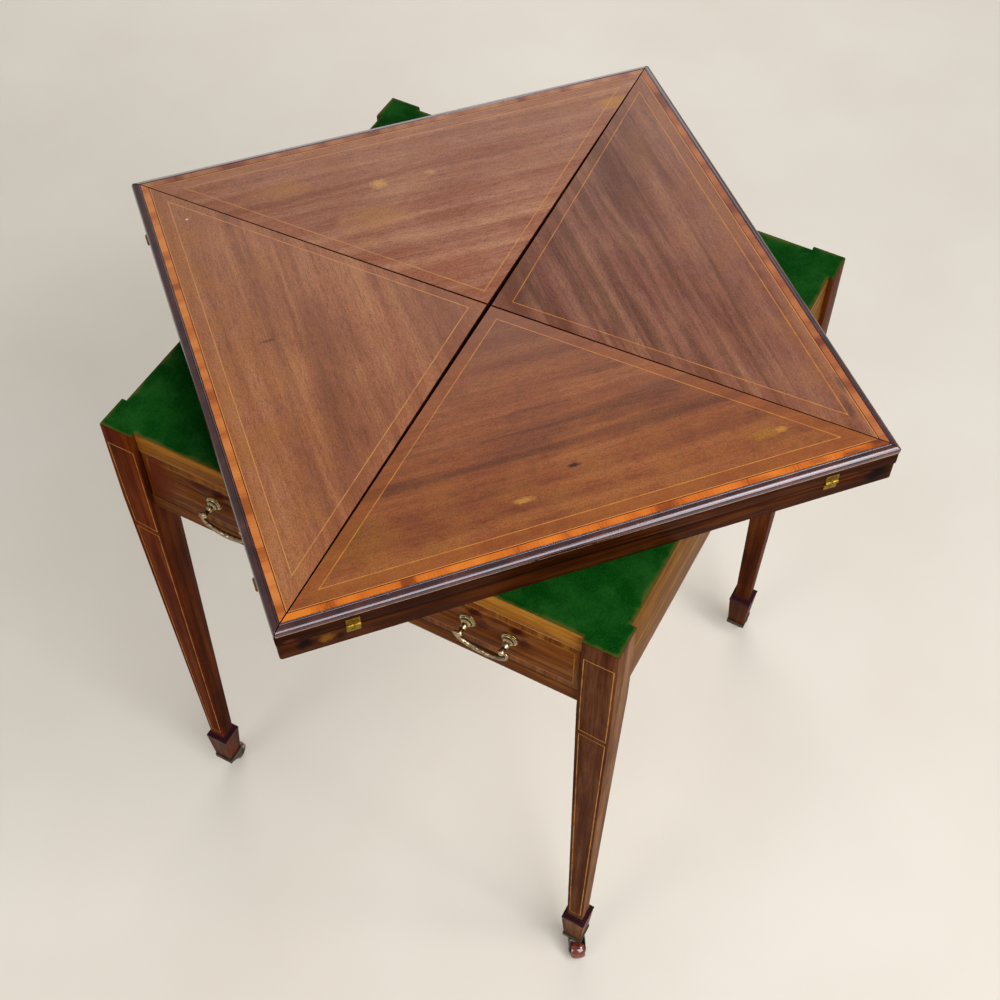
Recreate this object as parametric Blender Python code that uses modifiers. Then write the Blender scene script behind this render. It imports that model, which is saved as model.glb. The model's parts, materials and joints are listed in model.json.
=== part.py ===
"""Envelope card table: a square swivel top of four triangular leaves on a base with one drawer.

Run with: blender --background --python part.py
Units are metres, +Z is up, and the origin lies on the floor under the middle of the base.
The drawer faces -Y. The top is modelled part turned, with its leaves closed.
"""

import math

import bmesh
import bpy
from mathutils import Matrix, Vector

# Table
TABLE_HEIGHT = 0.735            # floor to the closed leaves
BASE_SIDE = 0.523               # over the leg faces
TURN_DEG = 47.9                 # turn of the top from square with the base
QUARTER_DEG = 90.0
FIT = 0.0003                    # gap between pieces that meet
RUN = 0.0004                    # gap between pieces that slide
OVERRUN = 0.004                 # how far a cutter runs past a face
BAIZE = 0.0012

# Legs and castors
LEG_SIDE = 0.034
ANKLE_SIDE = 0.0184
FOOT_BEAD_SIDE = 0.0218
FOOT_LIP_SIDE = 0.0280
FOOT_BLOCK_SIDE = 0.0272
FOOT_BOTTOM_SIDE = 0.0210
FOOT_LIP = 0.0050               # height of the foot's moulded lip
FOOT_HEIGHT = 0.0570            # underside of the foot to the top of its lip
FOOT_BEAD = 0.0054              # height of the bead between the lip and the ankle
TAPER_DROP = 0.004              # straight part of the leg under the frieze
CASTOR_HEIGHT = 0.033           # floor to the underside of the foot
CASTOR_PLATE = 0.0025
CASTOR_CUP = 0.0046             # height of the cup's wall round the foot
CASTOR_CUP_WALL = 0.0007
CASTOR_TRAIL = 0.015
CASTOR_TURNS_DEG = {"front_left": 98.0, "front_right": -54.0, "back_right": 91.0, "back_left": 200.0}
WHEEL_RADIUS = 0.0115
WHEEL_WIDTH = 0.0160
WHEEL_CROWN = 0.0014            # fall of the tread at its edges
WHEEL_FLAT = 0.0050             # level middle of the tread
WHEEL_HUB_RADIUS = 0.0046
WHEEL_DISH = 0.0008             # depth of the dish round the hub
AXLE_RADIUS = 0.0016
AXLE_HEAD_RADIUS = 0.0026
AXLE_HEAD = 0.0008
STEM_RADIUS = 0.0030
STEM_LENGTH = 0.0140
HORN_CHEEK = 0.0010
HORN_BRIDGE = 0.0030
HORN_EYE_RADIUS = 0.0044
HORN_FRONT = 0.0090             # reach of the horn ahead of its stem
HORN_BACK = 0.0085
SOCKET_PLAY = 0.0005

# Frieze
FRIEZE = 0.108                  # top of the baize to the underside of the aprons
FRIEZE_RECESS = 0.005           # aprons behind the leg faces
APRON = 0.019
TOP_RAIL = 0.0228
BOTTOM_RAIL = 0.0158
BOTTOM_RAIL_WIDTH = 0.045
BASE_BOARD = 0.012
PIVOT_RAIL = 0.011
PIVOT_RAIL_WIDTH = 0.070
RUNNER = 0.014
RUNNER_WIDTH = 0.032
KICKER = 0.011
KICKER_WIDTH = 0.025

# Drawer
DRAWER_FRONT = 0.018
DRAWER_BACK_SPACE = 0.087       # behind the closed drawer, up to the back apron
DRAWER_WALL = 0.009
DRAWER_BOTTOM = 0.005
DRAWER_BOTTOM_RAISE = 0.005     # underside of the bottom above the drawer's lower edge
DRAWER_BOX_DROP = 0.012         # sides lower than the front
DRAWER_GROOVE = 0.003

# Drawer handles
HANDLE_INSET_LEFT = 0.0982      # end of the drawer front to the middle of the handle
HANDLE_INSET_RIGHT = 0.0887
HANDLE_RAISE = 0.0020           # handles above the middle of the drawer front
HANDLE_SPACING = 0.0412
HANDLE_STAND = 0.0154           # drawer face to the bail's axis
BAIL_LEAN_DEG = {"left": 4.5, "right": 12.0}  # how far each bail hangs in towards the drawer
ROSE_RADIUS = 0.0084
POST_HEAD_RADIUS = 0.0032
POST_TAIL_RADIUS = 0.0020
POST_TAIL_END = 0.0055          # thread showing inside the front
POST_BORE_RADIUS = 0.0018
HANDLE_NUT_RADIUS = 0.0050
HANDLE_NUT = 0.0030
BAIL_RADIUS = 0.0014
BAIL_GRIP_RADIUS = 0.0027
BAIL_DROP = 0.0215
BAIL_ELBOW = 0.0050             # bail's arm outside the post's middle
BAIL_PIN = 0.0020               # how far the bail's end lies inside the post's head

# Turning top
TOP_SIDE = 0.560                # over the edge moulding
NOSE = 0.0006                   # moulding proud of the leaf's edge, which holds the hinge axis
LEAF = 0.0212
BED = 0.0214
BED_INSET = 0.0012              # bed behind the leaf's edge
BED_CORNER = 0.0025
TOP_CORNER = 0.004              # rounding of the closed top's corners
MOULDING_WIDTH = 0.0084
MOULDING_DROP = 0.0079
WIDE_GAP_MIDDLE = 0.0043        # between leaves along one diagonal, at the middle of the top
WIDE_GAP_CORNER = 0.0010
NARROW_GAP_MIDDLE = 0.0019      # along the other
NARROW_GAP_CORNER = 0.0010
LEAF_BAIZE_RIM = 0.0025         # wood left along the hinge edge
LEAF_BORDER = 0.022             # wood left along the two inner edges
BED_BAIZE_RIM = 0.0045
SHANK_RADIUS = 0.006
BOLT_HEAD_RADIUS = 0.016
BOLT_HEAD = 0.0035
WASHER_RADIUS = 0.015
WASHER = 0.0015
NUT_RADIUS = 0.0105
NUT = 0.0040
BOLT_END = 0.0010
SHANK_PLAY = 0.0005

# Edge hinges
HINGE_OFFSET = 0.215            # middle of an edge to a hinge
HINGE_PLATE = 0.0015
HINGE_WIDTH = 0.0122
HINGE_HEIGHT = 0.0094           # from the axis to a plate's far edge
KNUCKLE_RADIUS = 0.0019
HINGE_BORE_RADIUS = 0.0010
HINGE_PIN_RADIUS = 0.0007
LEAF_PLATE_PROUD = 0.0002
BED_PLATE_PROUD = 0.0006

# Worked out from the sizes above
BASE_TOP = TABLE_HEIGHT - LEAF - FIT - BED - RUN
JOINT_Z = BASE_TOP + RUN + BED + FIT / 2
AXIS_OFFSET = TOP_SIDE / 2 - NOSE
LEG_OFFSET = (BASE_SIDE - LEG_SIDE) / 2
LEG_INNER = BASE_SIDE / 2 - LEG_SIDE
FRIEZE_FACE = BASE_SIDE / 2 - FRIEZE_RECESS
APRON_INNER = FRIEZE_FACE - APRON
WOOD_TOP = BASE_TOP - BAIZE - FIT
FRIEZE_BOTTOM = BASE_TOP - FRIEZE
BOTTOM_RAIL_TOP = FRIEZE_BOTTOM + BOTTOM_RAIL
TOP_RAIL_BOTTOM = WOOD_TOP - TOP_RAIL
BOARD_BOTTOM = WOOD_TOP - BASE_BOARD
DRAWER_LOW = BOTTOM_RAIL_TOP + RUN
DRAWER_HIGH = TOP_RAIL_BOTTOM - RUN
DRAWER_BOX_HIGH = DRAWER_HIGH - DRAWER_BOX_DROP
DRAWER_HALF = LEG_INNER - 2 * RUN
HANDLE_Z = (DRAWER_LOW + DRAWER_HIGH) / 2 + HANDLE_RAISE
BED_HALF = AXIS_OFFSET - BED_INSET
BED_LOW = BASE_TOP + RUN
BED_TOP = BED_LOW + BED

CORNERS = {"front_left": (-1, -1), "front_right": (1, -1), "back_right": (1, 1), "back_left": (-1, 1)}
LEAVES = ("front", "right", "back", "left")
HANDLES = {"left": HANDLE_INSET_LEFT - DRAWER_HALF, "right": DRAWER_HALF - HANDLE_INSET_RIGHT}

# Moulding section: shares of its width, from the veneer out, and of its drop
MOULDING_SHARES = (
    (0.00, 0.00), (0.10, 0.00), (0.14, 0.09), (0.22, 0.04), (0.32, 0.05), (0.40, 0.15),
    (0.46, 0.22), (0.58, 0.18), (0.72, 0.20), (0.84, 0.28), (0.93, 0.40), (0.98, 0.54),
    (1.00, 0.68), (0.98, 0.82), (0.93, 0.93), (0.88, 1.00), (0.00, 1.00),
)

# Post section: shares of the rose's radius and of the stand, from the drawer face out
POST_SHARES = (
    (0.97, 0.00), (1.00, 0.05), (0.95, 0.10), (0.80, 0.12), (0.77, 0.18), (0.62, 0.20),
    (0.58, 0.26), (0.38, 0.29), (0.27, 0.36), (0.37, 0.43), (0.42, 0.50), (0.35, 0.58), (0.23, 0.66),
)


def clear_scene():
    for thing in list(bpy.data.objects):
        bpy.data.objects.remove(thing, do_unlink=True)
    for group in list(bpy.data.collections):
        bpy.data.collections.remove(group)


def collection(name):
    made = bpy.data.collections.new(name)
    bpy.context.scene.collection.children.link(made)
    return made


def material(name, colour, roughness, metallic=0.0):
    made = bpy.data.materials.new(name)
    made.use_nodes = True
    shader = made.node_tree.nodes["Principled BSDF"]
    shader.inputs["Base Color"].default_value = (*colour, 1.0)
    shader.inputs["Roughness"].default_value = roughness
    shader.inputs["Metallic"].default_value = metallic
    return made


def place(name, mesh, finish, location=(0, 0, 0), rotation=(0, 0, 0), parent=None, group=None):
    """Make an object of a mesh, in the table's collection or in another."""
    made = bpy.data.objects.new(name, mesh)
    (group or TABLE).objects.link(made)
    if finish:
        mesh.materials.clear()
        mesh.materials.append(finish)
    made.location = location
    made.rotation_euler = rotation
    made.parent = parent
    return made


def empty(name, location, rotation=(0, 0, 0), parent=None):
    made = bpy.data.objects.new(name, None)
    TABLE.objects.link(made)
    made.location = location
    made.rotation_euler = rotation
    made.parent = parent
    return made


def mesh_of(bm, name):
    bmesh.ops.recalc_face_normals(bm, faces=bm.faces)
    mesh = bpy.data.meshes.new(name)
    bm.to_mesh(mesh)
    bm.free()
    return mesh


def evaluated_mesh(source):
    """The mesh of an object with its modifiers or its curve bevel applied, in its own frame."""
    bpy.context.view_layer.update()
    graph = bpy.context.evaluated_depsgraph_get()
    mesh = bpy.data.meshes.new_from_object(source.evaluated_get(graph))
    bm = bmesh.new()
    bm.from_mesh(mesh)
    bmesh.ops.remove_doubles(bm, verts=bm.verts, dist=FIT / 100)
    bm.to_mesh(mesh)
    bm.free()
    return mesh


def block(name, low, high, finish, parent=None, group=None):
    """A box between two corners, with its origin in its middle."""
    low, high = Vector(low), Vector(high)
    bm = bmesh.new()
    bmesh.ops.create_cube(bm, size=1)
    bmesh.ops.scale(bm, vec=high - low, verts=bm.verts)
    return place(name, mesh_of(bm, name), finish, (low + high) / 2, parent=parent, group=group)


def cylinder_mesh(name, radius, length, sides):
    bm = bmesh.new()
    bmesh.ops.create_cone(bm, cap_ends=True, segments=sides, radius1=radius, radius2=radius, depth=length)
    return mesh_of(bm, name)


def outline_object(name, points, thickness, finish, location=(0, 0, 0), rotation=(0, 0, 0),
                   parent=None, group=None):
    """A flat outline in its own XY plane, given a thickness centred on that plane."""
    curve = bpy.data.curves.new(name, "CURVE")
    curve.dimensions = "2D"
    curve.fill_mode = "BOTH"
    curve.extrude = thickness / 2
    spline = curve.splines.new("POLY")
    spline.points.add(len(points) - 1)
    for point, (x, y) in zip(spline.points, points):
        point.co = (x, y, 0, 1)
    spline.use_cyclic_u = True
    source = bpy.data.objects.new(name + "_outline", curve)
    TABLE.objects.link(source)
    mesh = evaluated_mesh(source)
    bpy.data.objects.remove(source, do_unlink=True)
    bpy.data.curves.remove(curve)
    return place(name, mesh, finish, location, rotation, parent, group)


def turned(name, profile, sides, finish, location=(0, 0, 0), rotation=(0, 0, 0), parent=None,
           group=None, smooth_deg=40.0):
    """Turn a profile of (radius, height) points, listed from the top down, about Z."""
    bm = bmesh.new()
    points = [bm.verts.new((radius, 0, height)) for radius, height in profile]
    for first, second in zip(points, points[1:]):
        bm.edges.new((first, second))
    mesh = bpy.data.meshes.new(name)
    bm.to_mesh(mesh)
    bm.free()
    made = place(name, mesh, finish, location, rotation, parent, group)
    screw = made.modifiers.new("turn", "SCREW")
    screw.steps = sides
    screw.render_steps = sides
    screw.use_smooth_shade = sides > 8
    screw.use_merge_vertices = True
    screw.merge_threshold = FIT / 100
    finished = evaluated_mesh(made)
    made.modifiers.remove(screw)
    made.data = finished
    bpy.data.meshes.remove(mesh)
    if sides > 8:
        finished.shade_smooth()
        finished.set_sharp_from_angle(angle=math.radians(smooth_deg))
    return made


def as_tool(made):
    """Hide an object that only cuts or joins others."""
    made.hide_render = True
    made.display_type = "WIRE"
    return made


def boolean(target, tool, operation="DIFFERENCE"):
    modifier = target.modifiers.new(operation.lower() + "_" + tool.name, "BOOLEAN")
    modifier.operation = operation
    modifier.object = tool
    modifier.solver = "EXACT"
    return modifier


def hole(target, name, radius, length, location, rotation=(0, 0, 0), sides=16, parent=None):
    tool = as_tool(place(name, cylinder_mesh(name, radius, length, sides), None, location, rotation,
                         parent, TOOLS))
    boolean(target, tool)
    return tool


def pocket(target, name, low, high, parent=None):
    tool = as_tool(block(name, low, high, None, parent, TOOLS))
    boolean(target, tool)
    return tool


# Legs, with spade feet

def leg_profile():
    """Half widths and heights of the leg's square section, from the top down."""
    foot = CASTOR_HEIGHT
    lip_top = foot + FOOT_HEIGHT
    lip_low = lip_top - FOOT_LIP
    ankle, bead, lip = ANKLE_SIDE / 2, FOOT_BEAD_SIDE / 2, FOOT_LIP_SIDE / 2
    swell = bead - ankle
    levels = [
        (0, WOOD_TOP),
        (LEG_SIDE / 2, WOOD_TOP),
        (LEG_SIDE / 2, FRIEZE_BOTTOM - TAPER_DROP),
        (ankle, lip_top + FOOT_BEAD),
        (ankle + swell * 3 / 4, lip_top + FOOT_BEAD * 5 / 6),
        (bead, lip_top + FOOT_BEAD * 2 / 3),
        (bead, lip_top + FOOT_BEAD / 3),
        (bead - swell / 3, lip_top + FOOT_BEAD / 8),
        (lip - swell / 4, lip_top),
        (lip, lip_top - FOOT_LIP / 5),
        (lip, lip_top - FOOT_LIP * 2 / 3),
        (FOOT_BLOCK_SIDE / 2, lip_low),
        (FOOT_BOTTOM_SIDE / 2, foot),
        (0, foot),
    ]
    return [(half * math.sqrt(2), height) for half, height in levels]


def make_legs():
    for name, (x, y) in CORNERS.items():
        spot = (x * LEG_OFFSET, y * LEG_OFFSET, 0)
        leg = turned("leg_" + name, leg_profile(), 4, MAHOGANY, spot, (0, 0, math.radians(QUARTER_DEG / 2)))
        socket_top = CASTOR_HEIGHT - CASTOR_PLATE + STEM_LENGTH + SOCKET_PLAY
        depth = socket_top - CASTOR_HEIGHT + OVERRUN
        hole(leg, "stem_socket_" + name, STEM_RADIUS + SOCKET_PLAY, depth,
             (spot[0], spot[1], socket_top - depth / 2))


# Castors

def make_castor_plates():
    """Square brass cups round the feet, each with a hole in its floor for the horn's stem."""
    foot_block = FOOT_HEIGHT - FOOT_LIP
    inner = (FOOT_BOTTOM_SIDE + (FOOT_BLOCK_SIDE - FOOT_BOTTOM_SIDE) * CASTOR_CUP / foot_block) / 2 + FIT
    half = inner + CASTOR_CUP_WALL
    low = CASTOR_HEIGHT - CASTOR_PLATE
    high = CASTOR_HEIGHT + CASTOR_CUP
    for name, (x, y) in CORNERS.items():
        spot_x, spot_y = x * LEG_OFFSET, y * LEG_OFFSET
        plate = block("castor_plate_" + name, (spot_x - half, spot_y - half, low),
                      (spot_x + half, spot_y + half, high), BRASS)
        pocket(plate, "cup_inside_" + name, (spot_x - inner, spot_y - inner, CASTOR_HEIGHT - FIT),
               (spot_x + inner, spot_y + inner, high + OVERRUN))
        hole(plate, "plate_hole_" + name, STEM_RADIUS + SOCKET_PLAY, CASTOR_PLATE + 2 * OVERRUN,
             (spot_x, spot_y, low + CASTOR_PLATE / 2))


def cheek_outline():
    """Outline of a horn's side in its own plane: X along the trail, Y up from the floor."""
    top = CASTOR_HEIGHT - CASTOR_PLATE - FIT
    points = [(-HORN_BACK, top), (-HORN_BACK, top - HORN_BRIDGE)]
    start, end = math.radians(215), math.radians(395)
    steps = 10
    for step in range(steps + 1):
        angle = start + (end - start) * step / steps
        points.append((CASTOR_TRAIL + HORN_EYE_RADIUS * math.cos(angle),
                       WHEEL_RADIUS + HORN_EYE_RADIUS * math.sin(angle)))
    points.append((HORN_FRONT + HORN_EYE_RADIUS, top - HORN_BRIDGE))
    points.append((HORN_FRONT, top))
    return points


def make_castor(name, corner, turn_deg):
    """A horn that swivels on its stem, with the axle riveted in it, and a ceramic wheel."""
    x, y = corner
    swivel = empty("castor_swivel_" + name, (x * LEG_OFFSET, y * LEG_OFFSET, 0),
                   (0, 0, math.radians(turn_deg)))
    top = CASTOR_HEIGHT - CASTOR_PLATE - FIT
    inner = WHEEL_WIDTH / 2 + RUN
    outer = inner + HORN_CHEEK
    hub = (CASTOR_TRAIL, 0, WHEEL_RADIUS)
    upright = (math.radians(QUARTER_DEG), 0, 0)
    horn = block("castor_horn_" + name, (-HORN_BACK, -outer, top - HORN_BRIDGE), (HORN_FRONT, outer, top),
                 BRASS, swivel)
    for side in (-1, 1):
        cheek = outline_object("cheek_%s_%d" % (name, side), cheek_outline(), HORN_CHEEK, None,
                               (0, side * (inner + outer) / 2, 0), upright, swivel, TOOLS)
        boolean(horn, as_tool(cheek), "UNION")
    stem_mesh = cylinder_mesh("stem_" + name, STEM_RADIUS, STEM_LENGTH + HORN_BRIDGE / 2, 12)
    stem_middle = top - HORN_BRIDGE / 2 + (STEM_LENGTH + HORN_BRIDGE / 2) / 2
    stem = place("stem_" + name, stem_mesh, None, (0, 0, stem_middle), parent=swivel, group=TOOLS)
    boolean(horn, as_tool(stem), "UNION")
    end = outer + AXLE_HEAD
    axle_profile = [
        (0, end), (AXLE_HEAD_RADIUS * 3 / 4, end), (AXLE_HEAD_RADIUS, outer + AXLE_HEAD / 2),
        (AXLE_HEAD_RADIUS, outer - FIT), (AXLE_RADIUS, outer - FIT),
        (AXLE_RADIUS, FIT - outer), (AXLE_HEAD_RADIUS, FIT - outer),
        (AXLE_HEAD_RADIUS, -outer - AXLE_HEAD / 2), (AXLE_HEAD_RADIUS * 3 / 4, -end), (0, -end),
    ]
    axle = turned("axle_" + name, axle_profile, 12, None, hub, upright, swivel, TOOLS)
    boolean(horn, as_tool(axle), "UNION")

    half = WHEEL_WIDTH / 2
    edge = WHEEL_RADIUS - WHEEL_CROWN
    bore = AXLE_RADIUS + RUN
    wheel_profile = [
        (bore, half), (WHEEL_HUB_RADIUS, half), (WHEEL_HUB_RADIUS + WHEEL_DISH, half - WHEEL_DISH),
        (edge - 2 * WHEEL_DISH, half - WHEEL_DISH), (edge - WHEEL_DISH, half), (edge, half - WHEEL_DISH),
        (WHEEL_RADIUS, WHEEL_FLAT / 2),
    ]
    lower = [(radius, -height) for radius, height in reversed(wheel_profile)]
    turned("castor_wheel_" + name, wheel_profile + lower + [(bore, half)], 20, CERAMIC, hub, upright, swivel)


# Base frame

def make_aprons():
    """Side and back aprons between the legs, behind the leg faces."""
    reach = LEG_INNER - FIT
    for name, side in (("left", -1), ("right", 1)):
        low_x, high_x = sorted((side * FRIEZE_FACE, side * APRON_INNER))
        block("apron_" + name, (low_x, -reach, FRIEZE_BOTTOM), (high_x, reach, WOOD_TOP), MAHOGANY)
    block("apron_back", (-reach, APRON_INNER, FRIEZE_BOTTOM), (reach, FRIEZE_FACE, WOOD_TOP), MAHOGANY)


def make_drawer_rails():
    reach = LEG_INNER - FIT
    block("drawer_rail_top", (-reach, -FRIEZE_FACE, TOP_RAIL_BOTTOM), (reach, -APRON_INNER, WOOD_TOP),
          GOLDEN_WOOD)
    block("drawer_rail_bottom", (-reach, -FRIEZE_FACE, FRIEZE_BOTTOM),
          (reach, BOTTOM_RAIL_WIDTH - FRIEZE_FACE, BOTTOM_RAIL_TOP), GOLDEN_WOOD)


def make_base_board():
    """Board let in between the aprons, notched round the legs, with the pivot rail under it."""
    reach = APRON_INNER - FIT
    notch = LEG_INNER - FIT
    board = block("base_board", (-reach, -reach, BOARD_BOTTOM), (reach, reach, WOOD_TOP), PALE_WOOD)
    for name, (x, y) in CORNERS.items():
        x_low, x_high = sorted((x * notch, x * (reach + OVERRUN)))
        y_low, y_high = sorted((y * notch, y * (reach + OVERRUN)))
        pocket(board, "board_notch_" + name, (x_low, y_low, BOARD_BOTTOM - OVERRUN),
               (x_high, y_high, WOOD_TOP + OVERRUN))
    hole(board, "board_pivot_hole", SHANK_RADIUS + SHANK_PLAY, BASE_BOARD + 2 * OVERRUN,
         board.location, sides=24)
    rail_top = BOARD_BOTTOM - FIT
    rail = block("pivot_rail", (-reach, -PIVOT_RAIL_WIDTH / 2, rail_top - PIVOT_RAIL),
                 (reach, PIVOT_RAIL_WIDTH / 2, rail_top), PALE_WOOD)
    hole(rail, "rail_pivot_hole", SHANK_RADIUS + SHANK_PLAY, PIVOT_RAIL + 2 * OVERRUN, rail.location,
         sides=24)


def make_base_baize():
    """Green cloth over the whole base, stepping in from the leg tops to the frieze."""
    leg_reach = BASE_SIDE / 2 - FIT
    rail_reach = FRIEZE_FACE - FIT
    inner = LEG_INNER + FIT
    low = BASE_TOP - BAIZE
    sheet = block("base_baize", (-leg_reach, -leg_reach, low), (leg_reach, leg_reach, BASE_TOP), CLOTH)
    for side in (-1, 1):
        near, far = sorted((side * rail_reach, side * (leg_reach + OVERRUN)))
        below, above = low - OVERRUN, BASE_TOP + OVERRUN
        pocket(sheet, "baize_step_x_%d" % side, (near, -inner, below), (far, inner, above))
        pocket(sheet, "baize_step_y_%d" % side, (-inner, near, below), (inner, far, above))
    hole(sheet, "baize_pivot_hole", SHANK_RADIUS + SHANK_PLAY, BAIZE + 2 * OVERRUN, sheet.location, sides=24)


def make_runners():
    """On each side one built-up strip: a runner under the drawer, a guide beside it, a kicker over it."""
    front = BOTTOM_RAIL_WIDTH - FRIEZE_FACE + FIT
    back = LEG_INNER - FIT
    reach = APRON_INNER - FIT
    kicker_low = DRAWER_BOX_HIGH + RUN - BOTTOM_RAIL_TOP
    section = [
        (reach - RUNNER_WIDTH, -RUNNER), (reach, -RUNNER), (reach, kicker_low + KICKER),
        (reach - KICKER_WIDTH, kicker_low + KICKER), (reach - KICKER_WIDTH, kicker_low),
        (LEG_INNER, kicker_low), (LEG_INNER, 0), (reach - RUNNER_WIDTH, 0),
    ]
    middle = (0, (front + back) / 2, BOTTOM_RAIL_TOP)
    for name, side in (("left", -1), ("right", 1)):
        outline = [(side * x, z) for x, z in section]
        outline_object("drawer_runner_" + name, outline, back - front, PALE_WOOD, middle,
                       (math.radians(QUARTER_DEG), 0, 0))


# Drawer

def make_drawer(root):
    face = -FRIEZE_FACE
    inside = face + DRAWER_FRONT
    rear = APRON_INNER - DRAWER_BACK_SPACE
    half = DRAWER_HALF
    front = block("drawer_front", (-half, face, DRAWER_LOW), (half, inside, DRAWER_HIGH), MAHOGANY, root)
    groove_low = DRAWER_LOW + DRAWER_BOTTOM_RAISE - FIT
    groove_high = groove_low + DRAWER_BOTTOM + 2 * FIT
    pocket(front, "front_groove", (-half + DRAWER_WALL - DRAWER_GROOVE, inside - DRAWER_GROOVE, groove_low),
           (half - DRAWER_WALL + DRAWER_GROOVE, inside + OVERRUN, groove_high), root)
    for name, side in (("left", -1), ("right", 1)):
        low_x, high_x = sorted((side * half, side * (half - DRAWER_WALL)))
        wall = block("drawer_side_" + name, (low_x, inside + FIT, DRAWER_LOW),
                     (high_x, rear, DRAWER_BOX_HIGH), PALE_WOOD, root)
        cut_x = sorted((side * (half - DRAWER_WALL + DRAWER_GROOVE), side * (half - DRAWER_WALL - OVERRUN)))
        pocket(wall, "side_groove_" + name, (cut_x[0], inside - OVERRUN, groove_low),
               (cut_x[1], rear + OVERRUN, groove_high), root)
    span = half - DRAWER_WALL - FIT
    bottom_low = DRAWER_LOW + DRAWER_BOTTOM_RAISE
    bottom_high = bottom_low + DRAWER_BOTTOM
    block("drawer_back", (-span, rear - DRAWER_WALL, bottom_high + FIT), (span, rear, DRAWER_BOX_HIGH),
          PALE_WOOD, root)
    reach = span + DRAWER_GROOVE
    block("drawer_bottom", (-reach, inside - DRAWER_GROOVE + FIT, bottom_low), (reach, rear, bottom_high),
          PALE_WOOD, root)

    for middle in HANDLES.values():
        for side in (-1, 1):
            hole(front, "post_hole_%d_%d" % (side, middle > 0), POST_TAIL_RADIUS + FIT,
                 DRAWER_FRONT + 2 * OVERRUN,
                 (middle + side * HANDLE_SPACING / 2, face + DRAWER_FRONT / 2, HANDLE_Z),
                 (math.radians(QUARTER_DEG), 0, 0), 12, root)


def post_profile():
    """Turned post along Z, from its round head down to the thread's end inside the drawer."""
    head = [(POST_HEAD_RADIUS * math.sin(angle), HANDLE_STAND + POST_HEAD_RADIUS * math.cos(angle))
            for angle in (math.radians(degrees) for degrees in (0, 35, 70, 105))]
    stem = [(radius * ROSE_RADIUS, FIT + height * HANDLE_STAND) for radius, height in reversed(POST_SHARES)]
    tail_end = -DRAWER_FRONT - POST_TAIL_END
    tail = [(POST_TAIL_RADIUS, FIT), (POST_TAIL_RADIUS, tail_end), (0, tail_end)]
    return head + stem + tail


def bail_points():
    """Middle line of a bail hanging from its axis: pins at both ends, then one round loop."""
    arm = HANDLE_SPACING / 2 + BAIL_ELBOW
    pin = HANDLE_SPACING / 2 + POST_HEAD_RADIUS - BAIL_PIN
    bend = BAIL_ELBOW / 3
    steps = 16
    loop = []
    for step in range(steps + 1):
        angle = math.pi * step / steps
        x = -arm * math.cos(angle)
        z = -bend - (BAIL_DROP - bend) * math.sin(angle) ** 0.8
        loop.append((x, z))
    left = [(-pin, 0), (-arm + bend, 0), (-arm + bend / 4, -bend / 4)]
    return left + loop + [(-x, z) for x, z in reversed(left)]


def make_bail(name, middle, root):
    pivot = empty("bail_pivot_" + name, (middle, -FRIEZE_FACE - HANDLE_STAND, HANDLE_Z),
                  (math.radians(BAIL_LEAN_DEG[name]), 0, 0), root)
    points = bail_points()
    curve = bpy.data.curves.new("bail_" + name, "CURVE")
    curve.dimensions = "3D"
    curve.bevel_depth = BAIL_GRIP_RADIUS
    curve.bevel_resolution = 2
    curve.use_fill_caps = True
    curve.twist_mode = "MINIMUM"
    spline = curve.splines.new("POLY")
    spline.points.add(len(points) - 1)
    slim = BAIL_RADIUS / BAIL_GRIP_RADIUS
    for point, (x, z) in zip(spline.points, points):
        point.co = (x, 0, z, 1)
        share = min(1.0, max(0.0, -z / BAIL_DROP))
        point.radius = slim + (1 - slim) * share ** 1.5
    source = bpy.data.objects.new("bail_curve_" + name, curve)
    TABLE.objects.link(source)
    mesh = evaluated_mesh(source)
    bpy.data.objects.remove(source, do_unlink=True)
    bpy.data.curves.remove(curve)
    mesh.shade_smooth()
    mesh.set_sharp_from_angle(angle=math.radians(50))
    place("bail_" + name, mesh, BRASS, parent=pivot)


def make_handles(root):
    """Turned posts with their nuts inside the drawer front, and a bail on each pair."""
    outward = (math.radians(QUARTER_DEG), 0, 0)
    nut_middle = -DRAWER_FRONT - FIT - HANDLE_NUT / 2
    for handle, middle in HANDLES.items():
        for end, side in (("left", -1), ("right", 1)):
            name = "%s_%s" % (handle, end)
            spot = (middle + side * HANDLE_SPACING / 2, -FRIEZE_FACE, HANDLE_Z)
            post = turned("handle_post_" + name, post_profile(), 14, BRASS, spot, outward, root)
            nut = place("handle_nut_" + name, cylinder_mesh("handle_nut", HANDLE_NUT_RADIUS, HANDLE_NUT, 6),
                        None, Vector(spot) - Vector((0, nut_middle, 0)), outward, root, TOOLS)
            boolean(post, as_tool(nut), "UNION")
            bore = cylinder_mesh("post_bore", POST_BORE_RADIUS, 2 * POST_HEAD_RADIUS + OVERRUN, 12)
            tool = place("post_bore_" + name, bore, None, Vector(spot) - Vector((0, HANDLE_STAND, 0)),
                         (0, math.radians(QUARTER_DEG), 0), root, TOOLS)
            boolean(post, as_tool(tool))
        make_bail(handle, middle, root)


# Bed and pivot

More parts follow.
